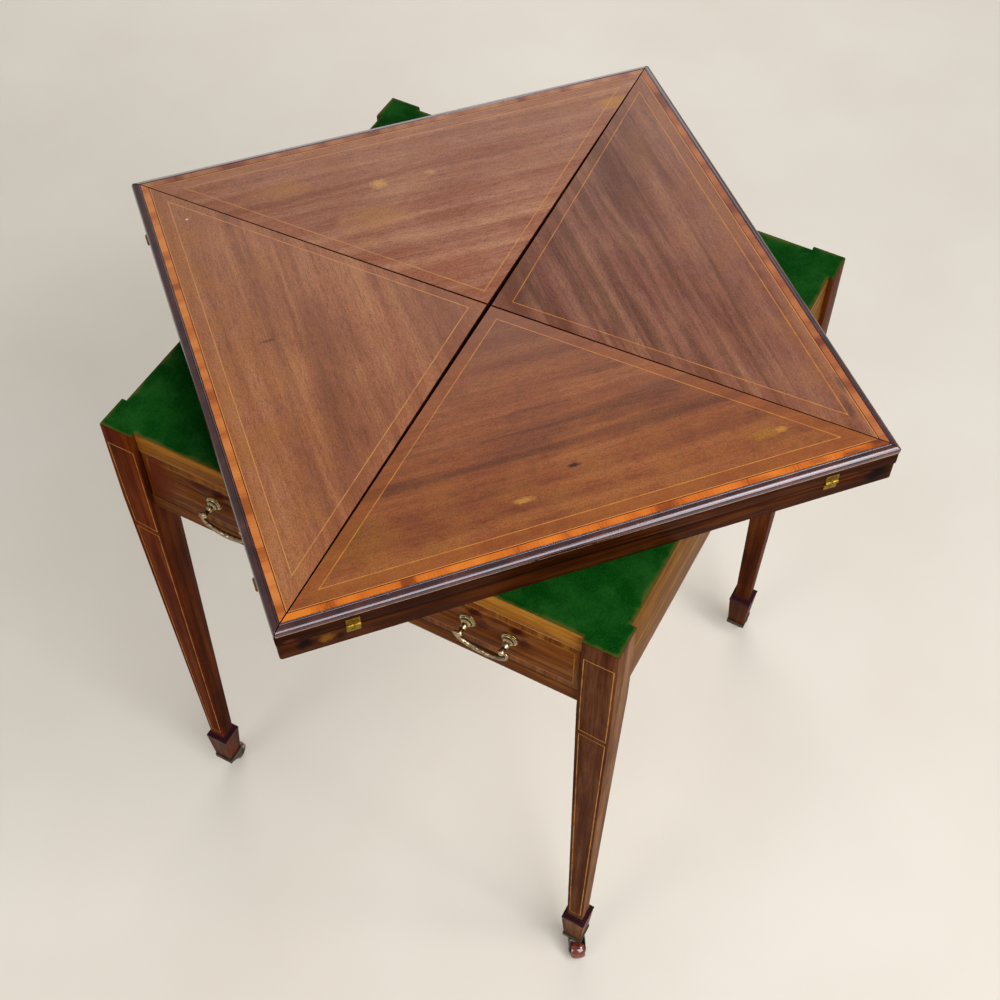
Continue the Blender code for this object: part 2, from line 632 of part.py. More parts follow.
def make_bed(root):
    low = BED_LOW - BASE_TOP
    high = BED_TOP - BASE_TOP
    bed = block("bed_board", (-BED_HALF, -BED_HALF, low), (BED_HALF, BED_HALF, high), MAHOGANY, root)
    corners = bed.modifiers.new("corners", "BEVEL")
    corners.width = BED_CORNER
    corners.segments = 4
    corners.limit_method = "WEIGHT"
    weights = bed.data.attributes.new("bevel_weight_edge", "FLOAT", "EDGE")
    for edge in bed.data.edges:
        first, second = (bed.data.vertices[i].co for i in edge.vertices)
        weights.data[edge.index].value = 1.0 if abs(first.z - second.z) > FIT else 0.0
    rim = BED_HALF - BED_BAIZE_RIM
    floor = high - BAIZE - FIT
    reach = rim + FIT
    pocket(bed, "bed_baize_recess", (-reach, -reach, floor), (reach, reach, high + OVERRUN), root)
    hole(bed, "bolt_head_recess", BOLT_HEAD_RADIUS + SHANK_PLAY, 2 * (BOLT_HEAD + FIT), (0, 0, floor),
         sides=24, parent=root)
    hole(bed, "bed_pivot_hole", SHANK_RADIUS + SHANK_PLAY, BED + 2 * OVERRUN, (0, 0, low + BED / 2),
         sides=24, parent=root)
    block("bed_baize", (-rim, -rim, high - BAIZE), (rim, rim, high), CLOTH, root)

    head_top = floor - FIT
    washer_high = BOARD_BOTTOM - FIT - PIVOT_RAIL - FIT - BASE_TOP
    washer_low = washer_high - WASHER
    end = washer_low - NUT - BOLT_END
    bolt_profile = [
        (0, head_top), (BOLT_HEAD_RADIUS * 3 / 4, head_top), (BOLT_HEAD_RADIUS, head_top - BOLT_HEAD / 2),
        (BOLT_HEAD_RADIUS, head_top - BOLT_HEAD + FIT), (SHANK_RADIUS, head_top - BOLT_HEAD + FIT),
        (SHANK_RADIUS, washer_high), (WASHER_RADIUS, washer_high), (WASHER_RADIUS, washer_low),
        (SHANK_RADIUS, washer_low), (SHANK_RADIUS, end), (0, end),
    ]
    bolt = turned("pivot_bolt", bolt_profile, 24, STEEL, parent=root)
    nut = place("pivot_nut", cylinder_mesh("pivot_nut", NUT_RADIUS, NUT + FIT, 6), None,
                (0, 0, washer_low - (NUT - FIT) / 2), parent=root, group=TOOLS)
    boolean(bolt, as_tool(nut), "UNION")
    return bed


# Leaves

def wedge_mesh(name, section, left_gap, right_gap, rounding=0.0):
    """Run a section in Y and Z along the edge, then cut it on the two diagonals to the tip.

    The frame is the leaf's hinge axis: X along the edge, Y in towards the middle of the top.
    Each gap is the distance from a diagonal to the face that is left, at the middle of the top and at
    the corner. A rounding is the radius left at the outer corners, about the same middle as the
    rounding of the moulding.
    """
    run = outline_object(name + "_run", section, 2 * TOP_SIDE, None, group=TOOLS)
    bm = bmesh.new()
    bm.from_mesh(run.data)
    bpy.data.objects.remove(run, do_unlink=True)
    along_x = Matrix(((0, 0, 1), (1, 0, 0), (0, 1, 0))).to_4x4()
    bmesh.ops.transform(bm, matrix=along_x, verts=bm.verts)
    middle = Vector((0, AXIS_OFFSET, 0))
    for side, (gap, corner_gap) in ((-1, left_gap), (1, right_gap)):
        square = Vector((side, 1, 0)).normalized()
        first = middle - square * gap
        last = Vector((side * AXIS_OFFSET, 0, 0)) - square * corner_gap
        along = (last - first).normalized()
        normal = (square - along * along.dot(square)).normalized()
        cut_off(bm, first, normal)
        if rounding:
            corner = Vector((side * (TOP_SIDE / 2 - TOP_CORNER), TOP_CORNER - NOSE, 0))
            for turn in (QUARTER_DEG / 2, QUARTER_DEG / 4):
                normal = Vector((side * math.sin(math.radians(turn)), -math.cos(math.radians(turn)), 0))
                cut_off(bm, corner + normal * rounding, normal)
    return mesh_of(bm, name)


def cut_off(bm, point, normal):
    """Cut away what lies beyond a plane and close the cut."""
    everything = list(bm.verts) + list(bm.edges) + list(bm.faces)
    cut = bmesh.ops.bisect_plane(bm, geom=everything, plane_co=point, plane_no=normal, dist=FIT / 1000,
                                 clear_outer=True)
    rim = [item for item in cut["geom_cut"] if isinstance(item, bmesh.types.BMEdge)]
    bmesh.ops.contextual_create(bm, geom=rim)


def leaf_gaps(index):
    """Half gaps left and right of a leaf: the wide gap runs on one diagonal, the narrow on the other."""
    wide = (WIDE_GAP_MIDDLE / 2, WIDE_GAP_CORNER / 2)
    narrow = (NARROW_GAP_MIDDLE / 2, NARROW_GAP_CORNER / 2)
    return (wide, narrow) if index % 2 == 0 else (narrow, wide)


def hinge_plate_outline(bottom, sign):
    """Face of a hinge plate, above the hinge axis or below it."""
    half = HINGE_WIDTH / 2
    points = [(-half, bottom), (half, bottom), (half, HINGE_HEIGHT), (-half, HINGE_HEIGHT)]
    return [(sign * x, sign * y) for x, y in points]


def hinge_half(name, sign, y_front, y_back, frame, middle, finish=None, group=None):
    """One half of an edge hinge: a plate, a web and a knuckle. sign -1 is the bed's half.

    The leaf's knuckle is bored. The bed's is solid and carries the pin.
    """
    upright = (math.radians(QUARTER_DEG), 0, 0)
    sideways = (0, math.radians(QUARTER_DEG), 0)
    clear = KNUCKLE_RADIUS + RUN
    half = HINGE_WIDTH / 2
    plate = outline_object(name, hinge_plate_outline(clear, sign), y_back - y_front, finish,
                           (middle, (y_front + y_back) / 2, 0), upright, frame, group)
    x_low, x_high = sorted((sign * RUN / 2, sign * half))
    web_low, web_high = sorted((sign * RUN, sign * (half - RUN)))
    z_low, z_high = sorted((sign * FIT, sign * (clear + RUN)))
    web = block(name + "_web", (middle + web_low, y_front + FIT / 3, z_low),
                (middle + web_high, y_back - FIT / 3, z_high), None, frame, TOOLS)
    knuckle = place(name + "_knuckle", cylinder_mesh("knuckle", KNUCKLE_RADIUS, x_high - x_low, 16), None,
                    (middle + (x_low + x_high) / 2, 0, 0), sideways, frame, TOOLS)
    boolean(plate, as_tool(web), "UNION")
    boolean(plate, as_tool(knuckle), "UNION")
    if sign > 0:
        hole(plate, name + "_bore", HINGE_BORE_RADIUS, HINGE_WIDTH + 2 * OVERRUN, (middle, 0, 0), sideways,
             12, frame)
    else:
        pin = place(name + "_pin", cylinder_mesh("hinge_pin", HINGE_PIN_RADIUS, HINGE_WIDTH - FIT, 12), None,
                    (middle, 0, 0), sideways, frame, TOOLS)
        boolean(plate, as_tool(pin), "UNION")
    return plate


def hinge_pockets(board, name, frame):
    """Recesses for the two hinges in a leaf's edge, in the hinge axis frame."""
    half = HINGE_WIDTH / 2 + FIT
    clear = KNUCKLE_RADIUS + RUN
    for side in (-1, 1):
        middle = side * HINGE_OFFSET
        outline = [(-half, -OVERRUN), (half, -OVERRUN), (half, HINGE_HEIGHT + FIT), (-half, HINGE_HEIGHT + FIT)]
        tool = outline_object("leaf_%s_plate_pocket_%d" % (name, side), outline, HINGE_PLATE + OVERRUN, None,
                              (middle, (HINGE_PLATE - OVERRUN) / 2, 0), (math.radians(QUARTER_DEG), 0, 0),
                              frame, TOOLS)
        boolean(board, as_tool(tool))
        pocket(board, "leaf_%s_knuckle_pocket_%d" % (name, side), (middle - half, -OVERRUN, -OVERRUN),
               (middle + half, clear, clear), frame)


def make_leaf(index, name, root):
    hinge = hinge_frame(index, "leaf_hinge_" + name, root)
    low = FIT / 2
    high = low + LEAF
    moulding_low = high - MOULDING_DROP
    inner = MOULDING_WIDTH - NOSE
    left_gap, right_gap = leaf_gaps(index)
    tip = AXIS_OFFSET

    section = [
        (0, low), (tip, low), (tip, high), (inner, high), (inner, moulding_low), (0, moulding_low),
    ]
    board = place("leaf_%s_board" % name, wedge_mesh("leaf_board", section, left_gap, right_gap,
                                                        TOP_CORNER - NOSE), MAHOGANY, parent=hinge)
    far = tip - FIT
    border = (LEAF_BORDER, LEAF_BORDER)
    clear_border = (LEAF_BORDER - FIT, LEAF_BORDER - FIT)
    recess_section = [
        (LEAF_BAIZE_RIM - FIT, low - OVERRUN), (far, low - OVERRUN), (far, low + BAIZE + FIT),
        (LEAF_BAIZE_RIM - FIT, low + BAIZE + FIT),
    ]
    recess = place("baize_recess_" + name,
                   wedge_mesh("baize_recess", recess_section, clear_border, clear_border),
                   None, parent=hinge, group=TOOLS)
    boolean(board, as_tool(recess))
    hinge_pockets(board, name, hinge)

    width, drop = MOULDING_WIDTH - FIT, MOULDING_DROP - FIT
    profile = [(width - NOSE - width * out, high - drop * down) for out, down in MOULDING_SHARES]
    place("leaf_%s_moulding" % name, wedge_mesh("leaf_moulding", profile, left_gap, right_gap, TOP_CORNER),
          EBONISED, parent=hinge)

    cloth_section = [(LEAF_BAIZE_RIM, low), (far, low), (far, low + BAIZE), (LEAF_BAIZE_RIM, low + BAIZE)]
    place("leaf_%s_baize" % name, wedge_mesh("leaf_baize", cloth_section, border, border), CLOTH,
          parent=hinge)
    for end, side in (("left", -1), ("right", 1)):
        hinge_half("leaf_%s_hinge_%s" % (name, end), 1, -LEAF_PLATE_PROUD, HINGE_PLATE - LEAF_PLATE_PROUD,
                   hinge, side * HINGE_OFFSET, BRASS)


def hinge_frame(index, name, root):
    """Empty on the hinge axis of one side of the top: X along the edge, Y towards the middle."""
    turn = math.radians(index * QUARTER_DEG)
    spot = Matrix.Rotation(turn, 3, "Z") @ Vector((0, -AXIS_OFFSET, JOINT_Z - BASE_TOP))
    return empty(name, spot, (0, 0, turn), root)


def make_top():
    root = empty("top_pivot", (0, 0, BASE_TOP), (0, 0, math.radians(TURN_DEG)))
    bed = make_bed(root)
    plate_front = BED_INSET - BED_PLATE_PROUD
    plate_back = BED_INSET + HINGE_PLATE
    clear = KNUCKLE_RADIUS + RUN
    for index, name in enumerate(LEAVES):
        make_leaf(index, name, root)
        frame = hinge_frame(index, "bed_side_" + name, root)
        for side in (-1, 1):
            middle = side * HINGE_OFFSET
            pocket(bed, "bed_knuckle_pocket_%s_%d" % (name, side), (middle - RUN / 4, -OVERRUN, FIT - clear),
                   (middle + HINGE_WIDTH / 2 + FIT, clear, OVERRUN), frame)
            half = hinge_half("bed_hinge_%s_%d" % (name, side), -1, plate_front, plate_back, frame,
                              middle, None, TOOLS)
            boolean(bed, as_tool(half), "UNION")


clear_scene()
TABLE = collection("envelope_card_table")
TOOLS = collection("cutters")

MAHOGANY = material("mahogany", (0.20, 0.075, 0.035), 0.32)
GOLDEN_WOOD = material("golden_mahogany", (0.36, 0.155, 0.045), 0.38)
PALE_WOOD = material("drawer_lining_wood", (0.42, 0.27, 0.14), 0.60)
EBONISED = material("dark_moulding", (0.035, 0.016, 0.022), 0.22)
CLOTH = material("green_baize", (0.006, 0.075, 0.014), 0.95)
BRASS = material("aged_brass", (0.60, 0.42, 0.14), 0.35, 1.0)
STEEL = material("steel", (0.40, 0.40, 0.41), 0.40, 1.0)
CERAMIC = material("brown_ceramic", (0.16, 0.030, 0.014), 0.10)

make_legs()
make_castor_plates()
for CORNER_NAME, CORNER in CORNERS.items():
    make_castor(CORNER_NAME, CORNER, CASTOR_TURNS_DEG[CORNER_NAME])
make_aprons()
make_drawer_rails()
make_base_board()
make_base_baize()
make_runners()
DRAWER = empty("drawer_slide", (0, 0, 0))
make_drawer(DRAWER)
make_handles(DRAWER)
make_top()
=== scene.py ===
"""Envelope card table: the looks of its veneers, mouldings, brass, castors and baize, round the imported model."""
import json
import math

import bmesh
import bpy
from mathutils import Matrix, Vector


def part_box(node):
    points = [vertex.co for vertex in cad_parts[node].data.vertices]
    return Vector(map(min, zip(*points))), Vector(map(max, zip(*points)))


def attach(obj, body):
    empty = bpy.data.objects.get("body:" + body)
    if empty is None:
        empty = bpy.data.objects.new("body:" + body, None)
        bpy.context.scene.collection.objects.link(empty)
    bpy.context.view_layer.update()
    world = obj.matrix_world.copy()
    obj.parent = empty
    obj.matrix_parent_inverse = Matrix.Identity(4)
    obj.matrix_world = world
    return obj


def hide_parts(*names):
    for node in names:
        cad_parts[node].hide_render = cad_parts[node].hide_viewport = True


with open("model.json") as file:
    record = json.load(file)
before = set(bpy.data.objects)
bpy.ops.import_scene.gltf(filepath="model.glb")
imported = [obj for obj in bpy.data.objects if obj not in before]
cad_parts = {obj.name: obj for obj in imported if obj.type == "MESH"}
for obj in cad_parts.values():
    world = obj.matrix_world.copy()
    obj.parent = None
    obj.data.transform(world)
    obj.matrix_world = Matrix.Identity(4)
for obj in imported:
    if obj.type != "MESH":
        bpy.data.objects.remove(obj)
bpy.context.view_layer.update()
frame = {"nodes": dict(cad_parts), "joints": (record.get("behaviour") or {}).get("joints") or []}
NODES = frame["nodes"]
JOINTS = {joint["name"]: joint for joint in frame["joints"]}

LEAVES = ("front", "right", "back", "left")
CORNERS = {"front_left": (-1, -1), "front_right": (1, -1), "back_right": (1, 1), "back_left": (-1, 1)}
TURN = 47.9                     # degrees from the base to the top
FIT = 0.0003
AXIS = math.hypot(*JOINTS["leaf_front_fold"]["pos_m"][:2])
SEAM = JOINTS["leaf_front_fold"]["pos_m"][2]
TOP = 0.735
TOP_HALF = 0.280
TOP_CORNER = 0.004
MOULDING_WIDTH = 0.0084
GAPS = ((0.00215, 0.0005), (0.00095, 0.0005))   # half gaps at the middle and corner, wide and narrow
LEAN = {"left": 4.5, "right": 12.0}             # how far each bail hangs in towards the drawer
BASE_TOP = JOINTS["top_swivel"]["pos_m"][2]
LEG_OFFSET = 0.2445
LEG_HALF = 0.017
ANKLE_HALF = 0.0092
FRIEZE_FACE = 0.2565
DRAWER_HALF = 0.2267
BED_INSET = 0.0012              # from the hinges' line in to the bed's edge
CLOTH_OUT, CLOTH_RAIL = 0.2612, 0.2562          # how far the base's baize reaches over the legs and the rails
CLOTH_LEG = 0.2278                              # where a leg's top begins
CLOTH_THICK = 0.0011
LEG_STRAIGHT_END = BASE_TOP - 0.112
ANKLE_Z = 0.0954
FOOT_LIP_LOW = 0.0850           # the foot's moulded lip and the bead above it reach from here to the ankle
HINGE_OFFSET = 0.215
HANDLE_Z = JOINTS["bail_left_swing"]["pos_m"][2]
HANDLE_STAND = 0.0154
HANDLE_HALF = 0.0206
BAND_START = 0.2651             # from the middle of the top out to the crossbanding
ON_BAND = -262                  # marks from here out, in mm, lie on the crossbanding
GRAIN_UP, GRAIN_BACK = (0, math.pi / 2, 0), (0, 0, math.pi / 2)     # turns that lay the grain
GRAIN_TOP, GRAIN_SIDE = (0, 0, -math.radians(TURN)), (0, 0, -math.radians(TURN + 90))
FACING = 0.7                    # a face whose normal leans this far looks that way
DRY_IOR = 1.2
PORE_DEPTH = 0.00002


# Working by hand: one piece selected, shaped in edit mode, left in place with its origin on the floor

def alone(piece):
    """Select this piece and nothing else."""
    bpy.ops.object.select_all(action="DESELECT")
    piece.select_set(True)
    bpy.context.view_layer.objects.active = piece


def smoothed(piece, angle):
    """Shade a piece smooth but for its sharper arrises."""
    alone(piece)
    bpy.ops.object.shade_smooth_by_angle(angle=math.radians(angle))


def edit(piece):
    alone(piece)
    bpy.ops.object.mode_set(mode="EDIT")
    bpy.ops.mesh.select_all(action="SELECT")


def choose(piece, kind, test):
    """In edit mode, select the edges or the faces that pass the test, and no others."""
    bpy.ops.mesh.select_all(action="DESELECT")
    mesh = bmesh.from_edit_mesh(piece.data)
    for item in getattr(mesh, kind):
        item.select = test(item)
    bmesh.update_edit_mesh(piece.data)


def done(piece, smooth=None):
    """Leave edit mode with doubles merged and faces outwards."""
    bpy.ops.mesh.select_all(action="SELECT")
    bpy.ops.mesh.remove_doubles(threshold=1e-6)
    bpy.ops.mesh.normals_make_consistent(inside=False)
    bpy.ops.object.mode_set(mode="OBJECT")
    if smooth is not None:
        smoothed(piece, smooth)
    return piece


def drawn_out(name, points, step):
    """A filled circle whose corners are moved to the points, extruded into a solid and left in edit mode."""
    bpy.ops.object.select_all(action="DESELECT")
    bpy.ops.mesh.primitive_circle_add(vertices=len(points), fill_type="NGON")
    piece = bpy.context.object
    piece.name = name
    for corner, point in zip(piece.data.vertices, points):
        corner.co = point
    edit(piece)
    bpy.ops.mesh.extrude_region_move(TRANSFORM_OT_translate={"value": step})
    return piece


def cut(point, normal):
    """Cut off what lies beyond a plane, and close the cut."""
    bpy.ops.mesh.select_all(action="SELECT")
    bpy.ops.mesh.bisect(plane_co=point, plane_no=normal, clear_outer=True, use_fill=True)


def spun(name, profile, centre, axis, steps, smooth=40):
    """A profile of (radius, height along the axis) points spun round the axis."""
    centre, axis = Vector(centre), Vector(axis).normalized()
    out = axis.orthogonal().normalized()
    bpy.ops.object.select_all(action="DESELECT")
    bpy.ops.mesh.primitive_circle_add(vertices=len(profile), fill_type="NOTHING")
    piece = bpy.context.object
    piece.name = name
    for corner, (radius, height) in zip(piece.data.vertices, profile):
        corner.co = centre + out * radius + axis * height
    edit(piece)
    bpy.ops.mesh.spin(steps=steps, angle=2 * math.pi, center=centre, axis=axis)
    return done(piece, smooth)


def rolled(name, lengths, rounds, place):
    """A grid rolled into a closed tube: place(s, turn) gives the point, and its two ends are filled."""
    bpy.ops.object.select_all(action="DESELECT")
    bpy.ops.mesh.primitive_grid_add(x_subdivisions=lengths, y_subdivisions=rounds, size=2)
    piece = bpy.context.object
    piece.name = name
    for corner in piece.data.vertices:
        corner.co = place((corner.co.x + 1) / 2, math.pi * (corner.co.y + 1))
    edit(piece)
    bpy.ops.mesh.remove_doubles(threshold=1e-6)
    bpy.ops.mesh.select_all(action="DESELECT")
    bpy.ops.mesh.select_non_manifold()
    bpy.ops.mesh.fill_holes(sides=0)
    return done(piece, 60)


def modified(piece, kind, **settings):
    """Put one modifier on a piece and apply it."""
    alone(piece)
    change = piece.modifiers.new(kind.lower(), kind)
    for key, value in settings.items():
        setattr(change, key, value)
    bpy.ops.object.modifier_apply(modifier=change.name)


def joined(pieces, name):
    alone(pieces[0])
    for other in pieces[1:]:
        other.select_set(True)
    bpy.ops.object.join()
    pieces[0].name = name
    return pieces[0]


def eased(node, width, rounder=None):
    """A copy of a CAD node with its flats made one face each and its arrises eased, to show in its place.

    rounder is (test, width): the edges whose two ends both pass the test are rounded more."""
    piece = bpy.data.objects.new(node + "_eased", NODES[node].data.copy())
    bpy.context.scene.collection.objects.link(piece)
    piece.data.materials.clear()
    edit(piece)
    bpy.ops.mesh.customdata_custom_splitnormals_clear()
    bpy.ops.mesh.remove_doubles(threshold=1e-6)
    bpy.ops.mesh.dissolve_limited(angle_limit=math.radians(1))
    if rounder:
        test, more = rounder
        choose(piece, "edges", lambda edge: all(test(corner.co) for corner in edge.verts))
        bpy.ops.mesh.bevel(offset=more, segments=3, affect="EDGES")
    bpy.ops.object.mode_set(mode="OBJECT")
    modified(piece, "BEVEL", width=width, segments=2, limit_method="ANGLE", angle_limit=math.radians(30))
    smoothed(piece, 35)
    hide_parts(node)
    return piece


def show(piece, body, finish, others=()):
    """Give a piece its finish and its body. others are (finish, test) pairs for faces by centre and normal."""
    piece.data.materials.clear()
    piece.data.materials.append(finish)
    for face in piece.data.polygons:
        face.material_index = 0
    for index, (other, test) in enumerate(others, 1):
        piece.data.materials.append(other)
        for face in piece.data.polygons:
            if test(face.center, face.normal):
                face.material_index = index
    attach(piece, body)


def top_frame(index):
    """Turn from one leaf's own frame, its edge along X at -Y, to its place in the table."""
    return Matrix.Rotation(math.radians(TURN + 90 * index), 4, "Z")


def set_down(piece, matrix):
    """Move a piece's mesh and leave its object at the origin."""
    piece.data.transform(matrix)
    piece.data.update()
    return piece


# Finishes

def linear(code):
    """An sRGB hex colour as linear values."""
    values = [int(code[i:i + 2], 16) / 255 for i in (1, 3, 5)]
    return (*[v / 12.92 if v <= 0.04045 else ((v + 0.055) / 1.055) ** 2.4 for v in values], 1.0)


def add(tree, kind, inputs, stops=None, **settings):
    """Add a node with its settings, its values or links by name or in order, and a ramp's stops."""
    made = tree.nodes.new("ShaderNode" + kind)
    for key, value in settings.items():
        setattr(made, key, value)
    for key, value in inputs.items() if isinstance(inputs, dict) else enumerate(inputs):
        if isinstance(value, bpy.types.NodeSocket):
            tree.links.new(value, made.inputs[key])
        else:
            made.inputs[key].default_value = value
    if stops:
        elements = made.color_ramp.elements
        while len(elements) < len(stops):
            elements.new(0.5)
        for element, (position, colour) in zip(elements, stops):
            element.position = position
            element.color = linear(colour) if isinstance(colour, str) else (colour, colour, colour, 1)
    return made.outputs


def finish(name):
    """A new material, its node tree and its coordinates on the object."""
    made = bpy.data.materials.new(name)
    made.use_nodes = True
    tree = made.node_tree
    return made, tree, add(tree, "TexCoord", {})["Object"]


def surface(made, colour, height=None, depth=0.0, roughness=None, **values):
    """Link colour, relief in metres and roughness to the material's shader, and set its plain values."""
    tree = made.node_tree
    shader = tree.nodes["Principled BSDF"]
    tree.links.new(colour, shader.inputs["Base Color"])
    if roughness is not None:
        tree.links.new(roughness, shader.inputs["Roughness"])
    if height is not None:
        bump = add(tree, "Bump", {"Height": height, "Distance": depth, "Strength": 1.0})[0]
        tree.links.new(bump, shader.inputs["Normal"])
    for key, value in values.items():
        shader.inputs[key.replace("_", " ")].default_value = value
    return made


def drawn_noise(tree, place, scale, lead=(0, 0, 0), **more):
    """Noise drawn out along the grain; scale is its features per metre along X, Y and Z."""
    own = add(tree, "Mapping", {"Vector": place, "Scale": scale, "Location": lead})[0]
    return add(tree, "TexNoise", {"Vector": own, "Scale": 1.0, **more})[0]


def cloudy(tree, place, scale, stops, detail=2.0, **more):
    """The greys or colours of the stops, spread by noise of this many features per metre."""
    cloud = add(tree, "TexNoise", {"Vector": place, "Scale": scale, "Detail": detail, **more})[0]
    return add(tree, "ValToRGB", [cloud], stops)[0]


def mahogany_grain(tree, place, tones, ribbon=(5, 120), fleck=(60, 1100), lead=(0, 0, 0)):
    """Colour and relief of mahogany with its grain along X.

    ribbon and fleck are features per metre along and across the grain: ribbons of 8 mm by 200 mm,
    and pores of about 1 mm by 15 mm, drawn coarser than the real 0.2 mm ones so that they show."""
    bands = drawn_noise(tree, place, (ribbon[0], ribbon[1], ribbon[1]), lead, Detail=4.0, Roughness=0.6,
                        Distortion=0.5)
    pores = drawn_noise(tree, place, (fleck[0], fleck[1], fleck[1]), Detail=3.0, Roughness=0.65)
    cloud = add(tree, "TexNoise", {"Vector": place, "Scale": 14.0})[0]
    blend = add(tree, "Math", [cloud, 0.45, bands], operation="MULTIPLY_ADD")[0]
    colour = add(tree, "ValToRGB", [blend], [*zip((0.56, 0.74, 0.92), tones)])[0]
    shade = add(tree, "ValToRGB", [pores], [(0.34, 0.58), (0.50, 1.0)])[0]
    return add(tree, "Mix", {0: 1.0, 6: colour, 7: shade}, data_type="RGBA", blend_type="MULTIPLY")[2], pores


def lip_colour(tree, place, colour, roughness):
    """The foot's lip and bead stained darker, purple brown, and glossier where the polish is unworn."""
    level = add(tree, "SeparateXYZ", [place])[2]
    middle, half = (FOOT_LIP_LOW + ANKLE_Z) / 2, (ANKLE_Z - FOOT_LIP_LOW) / 2
    at = add(tree, "Math", [level, middle, half], operation="COMPARE")[0]
    rough = add(tree, "Mix", {0: at, 2: roughness, 3: 0.22}, data_type="FLOAT")[0]
    return laid_over(tree, colour, (at, "#2E1418")), rough


def mahogany(name, tones, turn=(0, 0, 0), roughness=0.42, worn=(), lip=False, level=0.1, marks=(), **figure):
    """Old French polished mahogany: a warm brown with ribbons and dark pores under a thin, dry satin shine.

    turn lays the grain; worn holds (level, reach, colour, noise stops) for level bands rubbed or darkened."""
    made, tree, place = finish(name)
    along = add(tree, "Mapping", {"Vector": place, "Rotation": turn})[0]
    colour, pores = mahogany_grain(tree, along, tones, **figure)
    colour = marked(tree, along, colour, marks, up=True)
    for height, reach, tone, low, high in worn:
        near = add(tree, "Math", [add(tree, "SeparateXYZ", [place])[2], height, reach], operation="COMPARE")[0]
        share = cloudy(tree, place, 90.0, [(low, 0.0), (high, 1.0)], 3.0)
        colour = laid_over(tree, colour, (add(tree, "Math", [near, share], operation="MULTIPLY")[0], tone))
    return dry_polish(made, place, colour, pores, roughness, lip, level)


def line_distance(tree, place, start, end):
    """Distance from a line in the XY plane, positive on its left."""
    start, end = Vector((*start, 0)), Vector((*end, 0))
    normal = Vector((start.y - end.y, end.x - start.x, 0)).normalized()
    reach = add(tree, "VectorMath", {0: place, 1: normal}, operation="DOT_PRODUCT")[1]
    return add(tree, "Math", [reach, normal.dot(start)], operation="SUBTRACT")[0]


def least(tree, first, *others, operation="MINIMUM"):
    for other in others:
        first = add(tree, "Math", [first, other], operation=operation)[0]
    return first


def reach_out(tree, place, operation="MAXIMUM"):
    """The greater, or the lesser, of the distances from the middle along X and along Y."""
    parts = add(tree, "SeparateXYZ", [place])
    both = [add(tree, "Math", [part], operation="ABSOLUTE")[0] for part in parts[:2]]
    return add(tree, "Math", both, operation=operation)[0]


def laid_over(tree, colour, *layers):
    """Lay colours over a first one in turn, each by its share from 0 to 1."""
    for share, over in layers:
        over = linear(over) if isinstance(over, str) else over
        colour = add(tree, "Mix", {0: share, 6: colour, 7: over}, data_type="RGBA")[2]
    return colour


def dry_polish(made, place, colour, pores, roughness=0.42, lip=False, level=0.1):
    """Finish polished wood. Its IOR is under fresh shellac's 1.52: dry crazed polish has little glancing shine."""
    values = {"Roughness": roughness}
    if lip:
        colour, rough = lip_colour(made.node_tree, place, colour, roughness)
        values = {"roughness": rough}
    return surface(made, colour, pores, PORE_DEPTH, IOR=DRY_IOR, Specular_IOR_Level=level, **values)


def inlaid(tree, place, colour, inside, half, tone, scale, *stops):
    """A boxwood string where inside is 0, fainter in places under the old polish."""
    line = add(tree, "Math", [inside, 0.0, half], operation="COMPARE")[0]
    strong = cloudy(tree, place, scale, stops)
    return laid_over(tree, colour, (add(tree, "Math", [line, strong], operation="MULTIPLY")[0], tone))


def blot(tree, spot, strength):
    """Share of a stain with a soft ragged edge, from a vector that is 1 long at its rim."""
    ragged = add(tree, "TexNoise", {"Vector": spot, "Scale": 1.6, "Detail": 3.0})[0]
    far = add(tree, "VectorMath", {0: spot}, operation="LENGTH")[1]
    edge = add(tree, "Math", [ragged, 1.3, 0.35], operation="MULTIPLY_ADD")[0]
    edge = add(tree, "Math", [edge, far], operation="SUBTRACT")[0]
    return add(tree, "ValToRGB", [edge], [(0.0, 0.0), (0.60, strength)])[0]


def marked(tree, own, colour, marks, up=False):
    """Lay stains on a colour; each is its middle and half sizes in mm, tone and strength, in X and Y, or X and Z."""
    for x, y, half_x, half_y, tone, strength in marks:
        moved, size = (-x / half_x, -y / half_y, 0), (1000 / half_x, 1000 / half_y, 0)
        if up:
            moved, size = (moved[0], 0, moved[1]), (size[0], 0, size[1])
        spot = add(tree, "Mapping", {"Vector": own, "Scale": size, "Location": moved})[0]
        colour = laid_over(tree, colour, (blot(tree, spot, strength), tone))
    return colour


STRINGS = {                     # corners of each leaf's boxwood triangle in its own frame, in mm
    "front": ((-234.0, -251.2), (234.0, -251.2), (0.4, -19.2)),
    "right": ((-230.8, -251.7), (238.0, -251.7), (-3.8, -21.7)),
    "back": ((-234.0, -251.9), (231.7, -252.3), (-1.7, -18.3)),
    "left": ((-238.0, -251.0), (231.0, -251.0), (-3.3, -19.2)),
}
FIELDS = {                      # dark, middle and light tones of each leaf's veneer
    "front": ("#733C25", "#864929", "#945833"),
    "right": ("#6E4034", "#825343", "#91644B"),
    "back": ("#885440", "#976550", "#A8785B"),
    "left": ("#7E4A34", "#935B3E", "#A26B49"),
}
STREAKS = {                     # where dark streaks run: nearest and farthest from the middle, strength
    "front": (0.100, 0.175, 0.50),
    "right": (0.030, 0.235, 0.45),
    "back": (0.150, 0.200, 0.15),
    "left": (0.060, 0.200, 0.20),
}
BANDS = {                       # satinwood crossbanding, which has darkened on two of the sides
    "front": ("#823C10", "#B75C18", "#CC7221"),
    "right": ("#6F3825", "#8C4D30", "#A76439"),
    "back": ("#733E2E", "#8B5439", "#A26E4B"),
    "left": ("#8E4A1E", "#AC5E28", "#C0763A"),
}
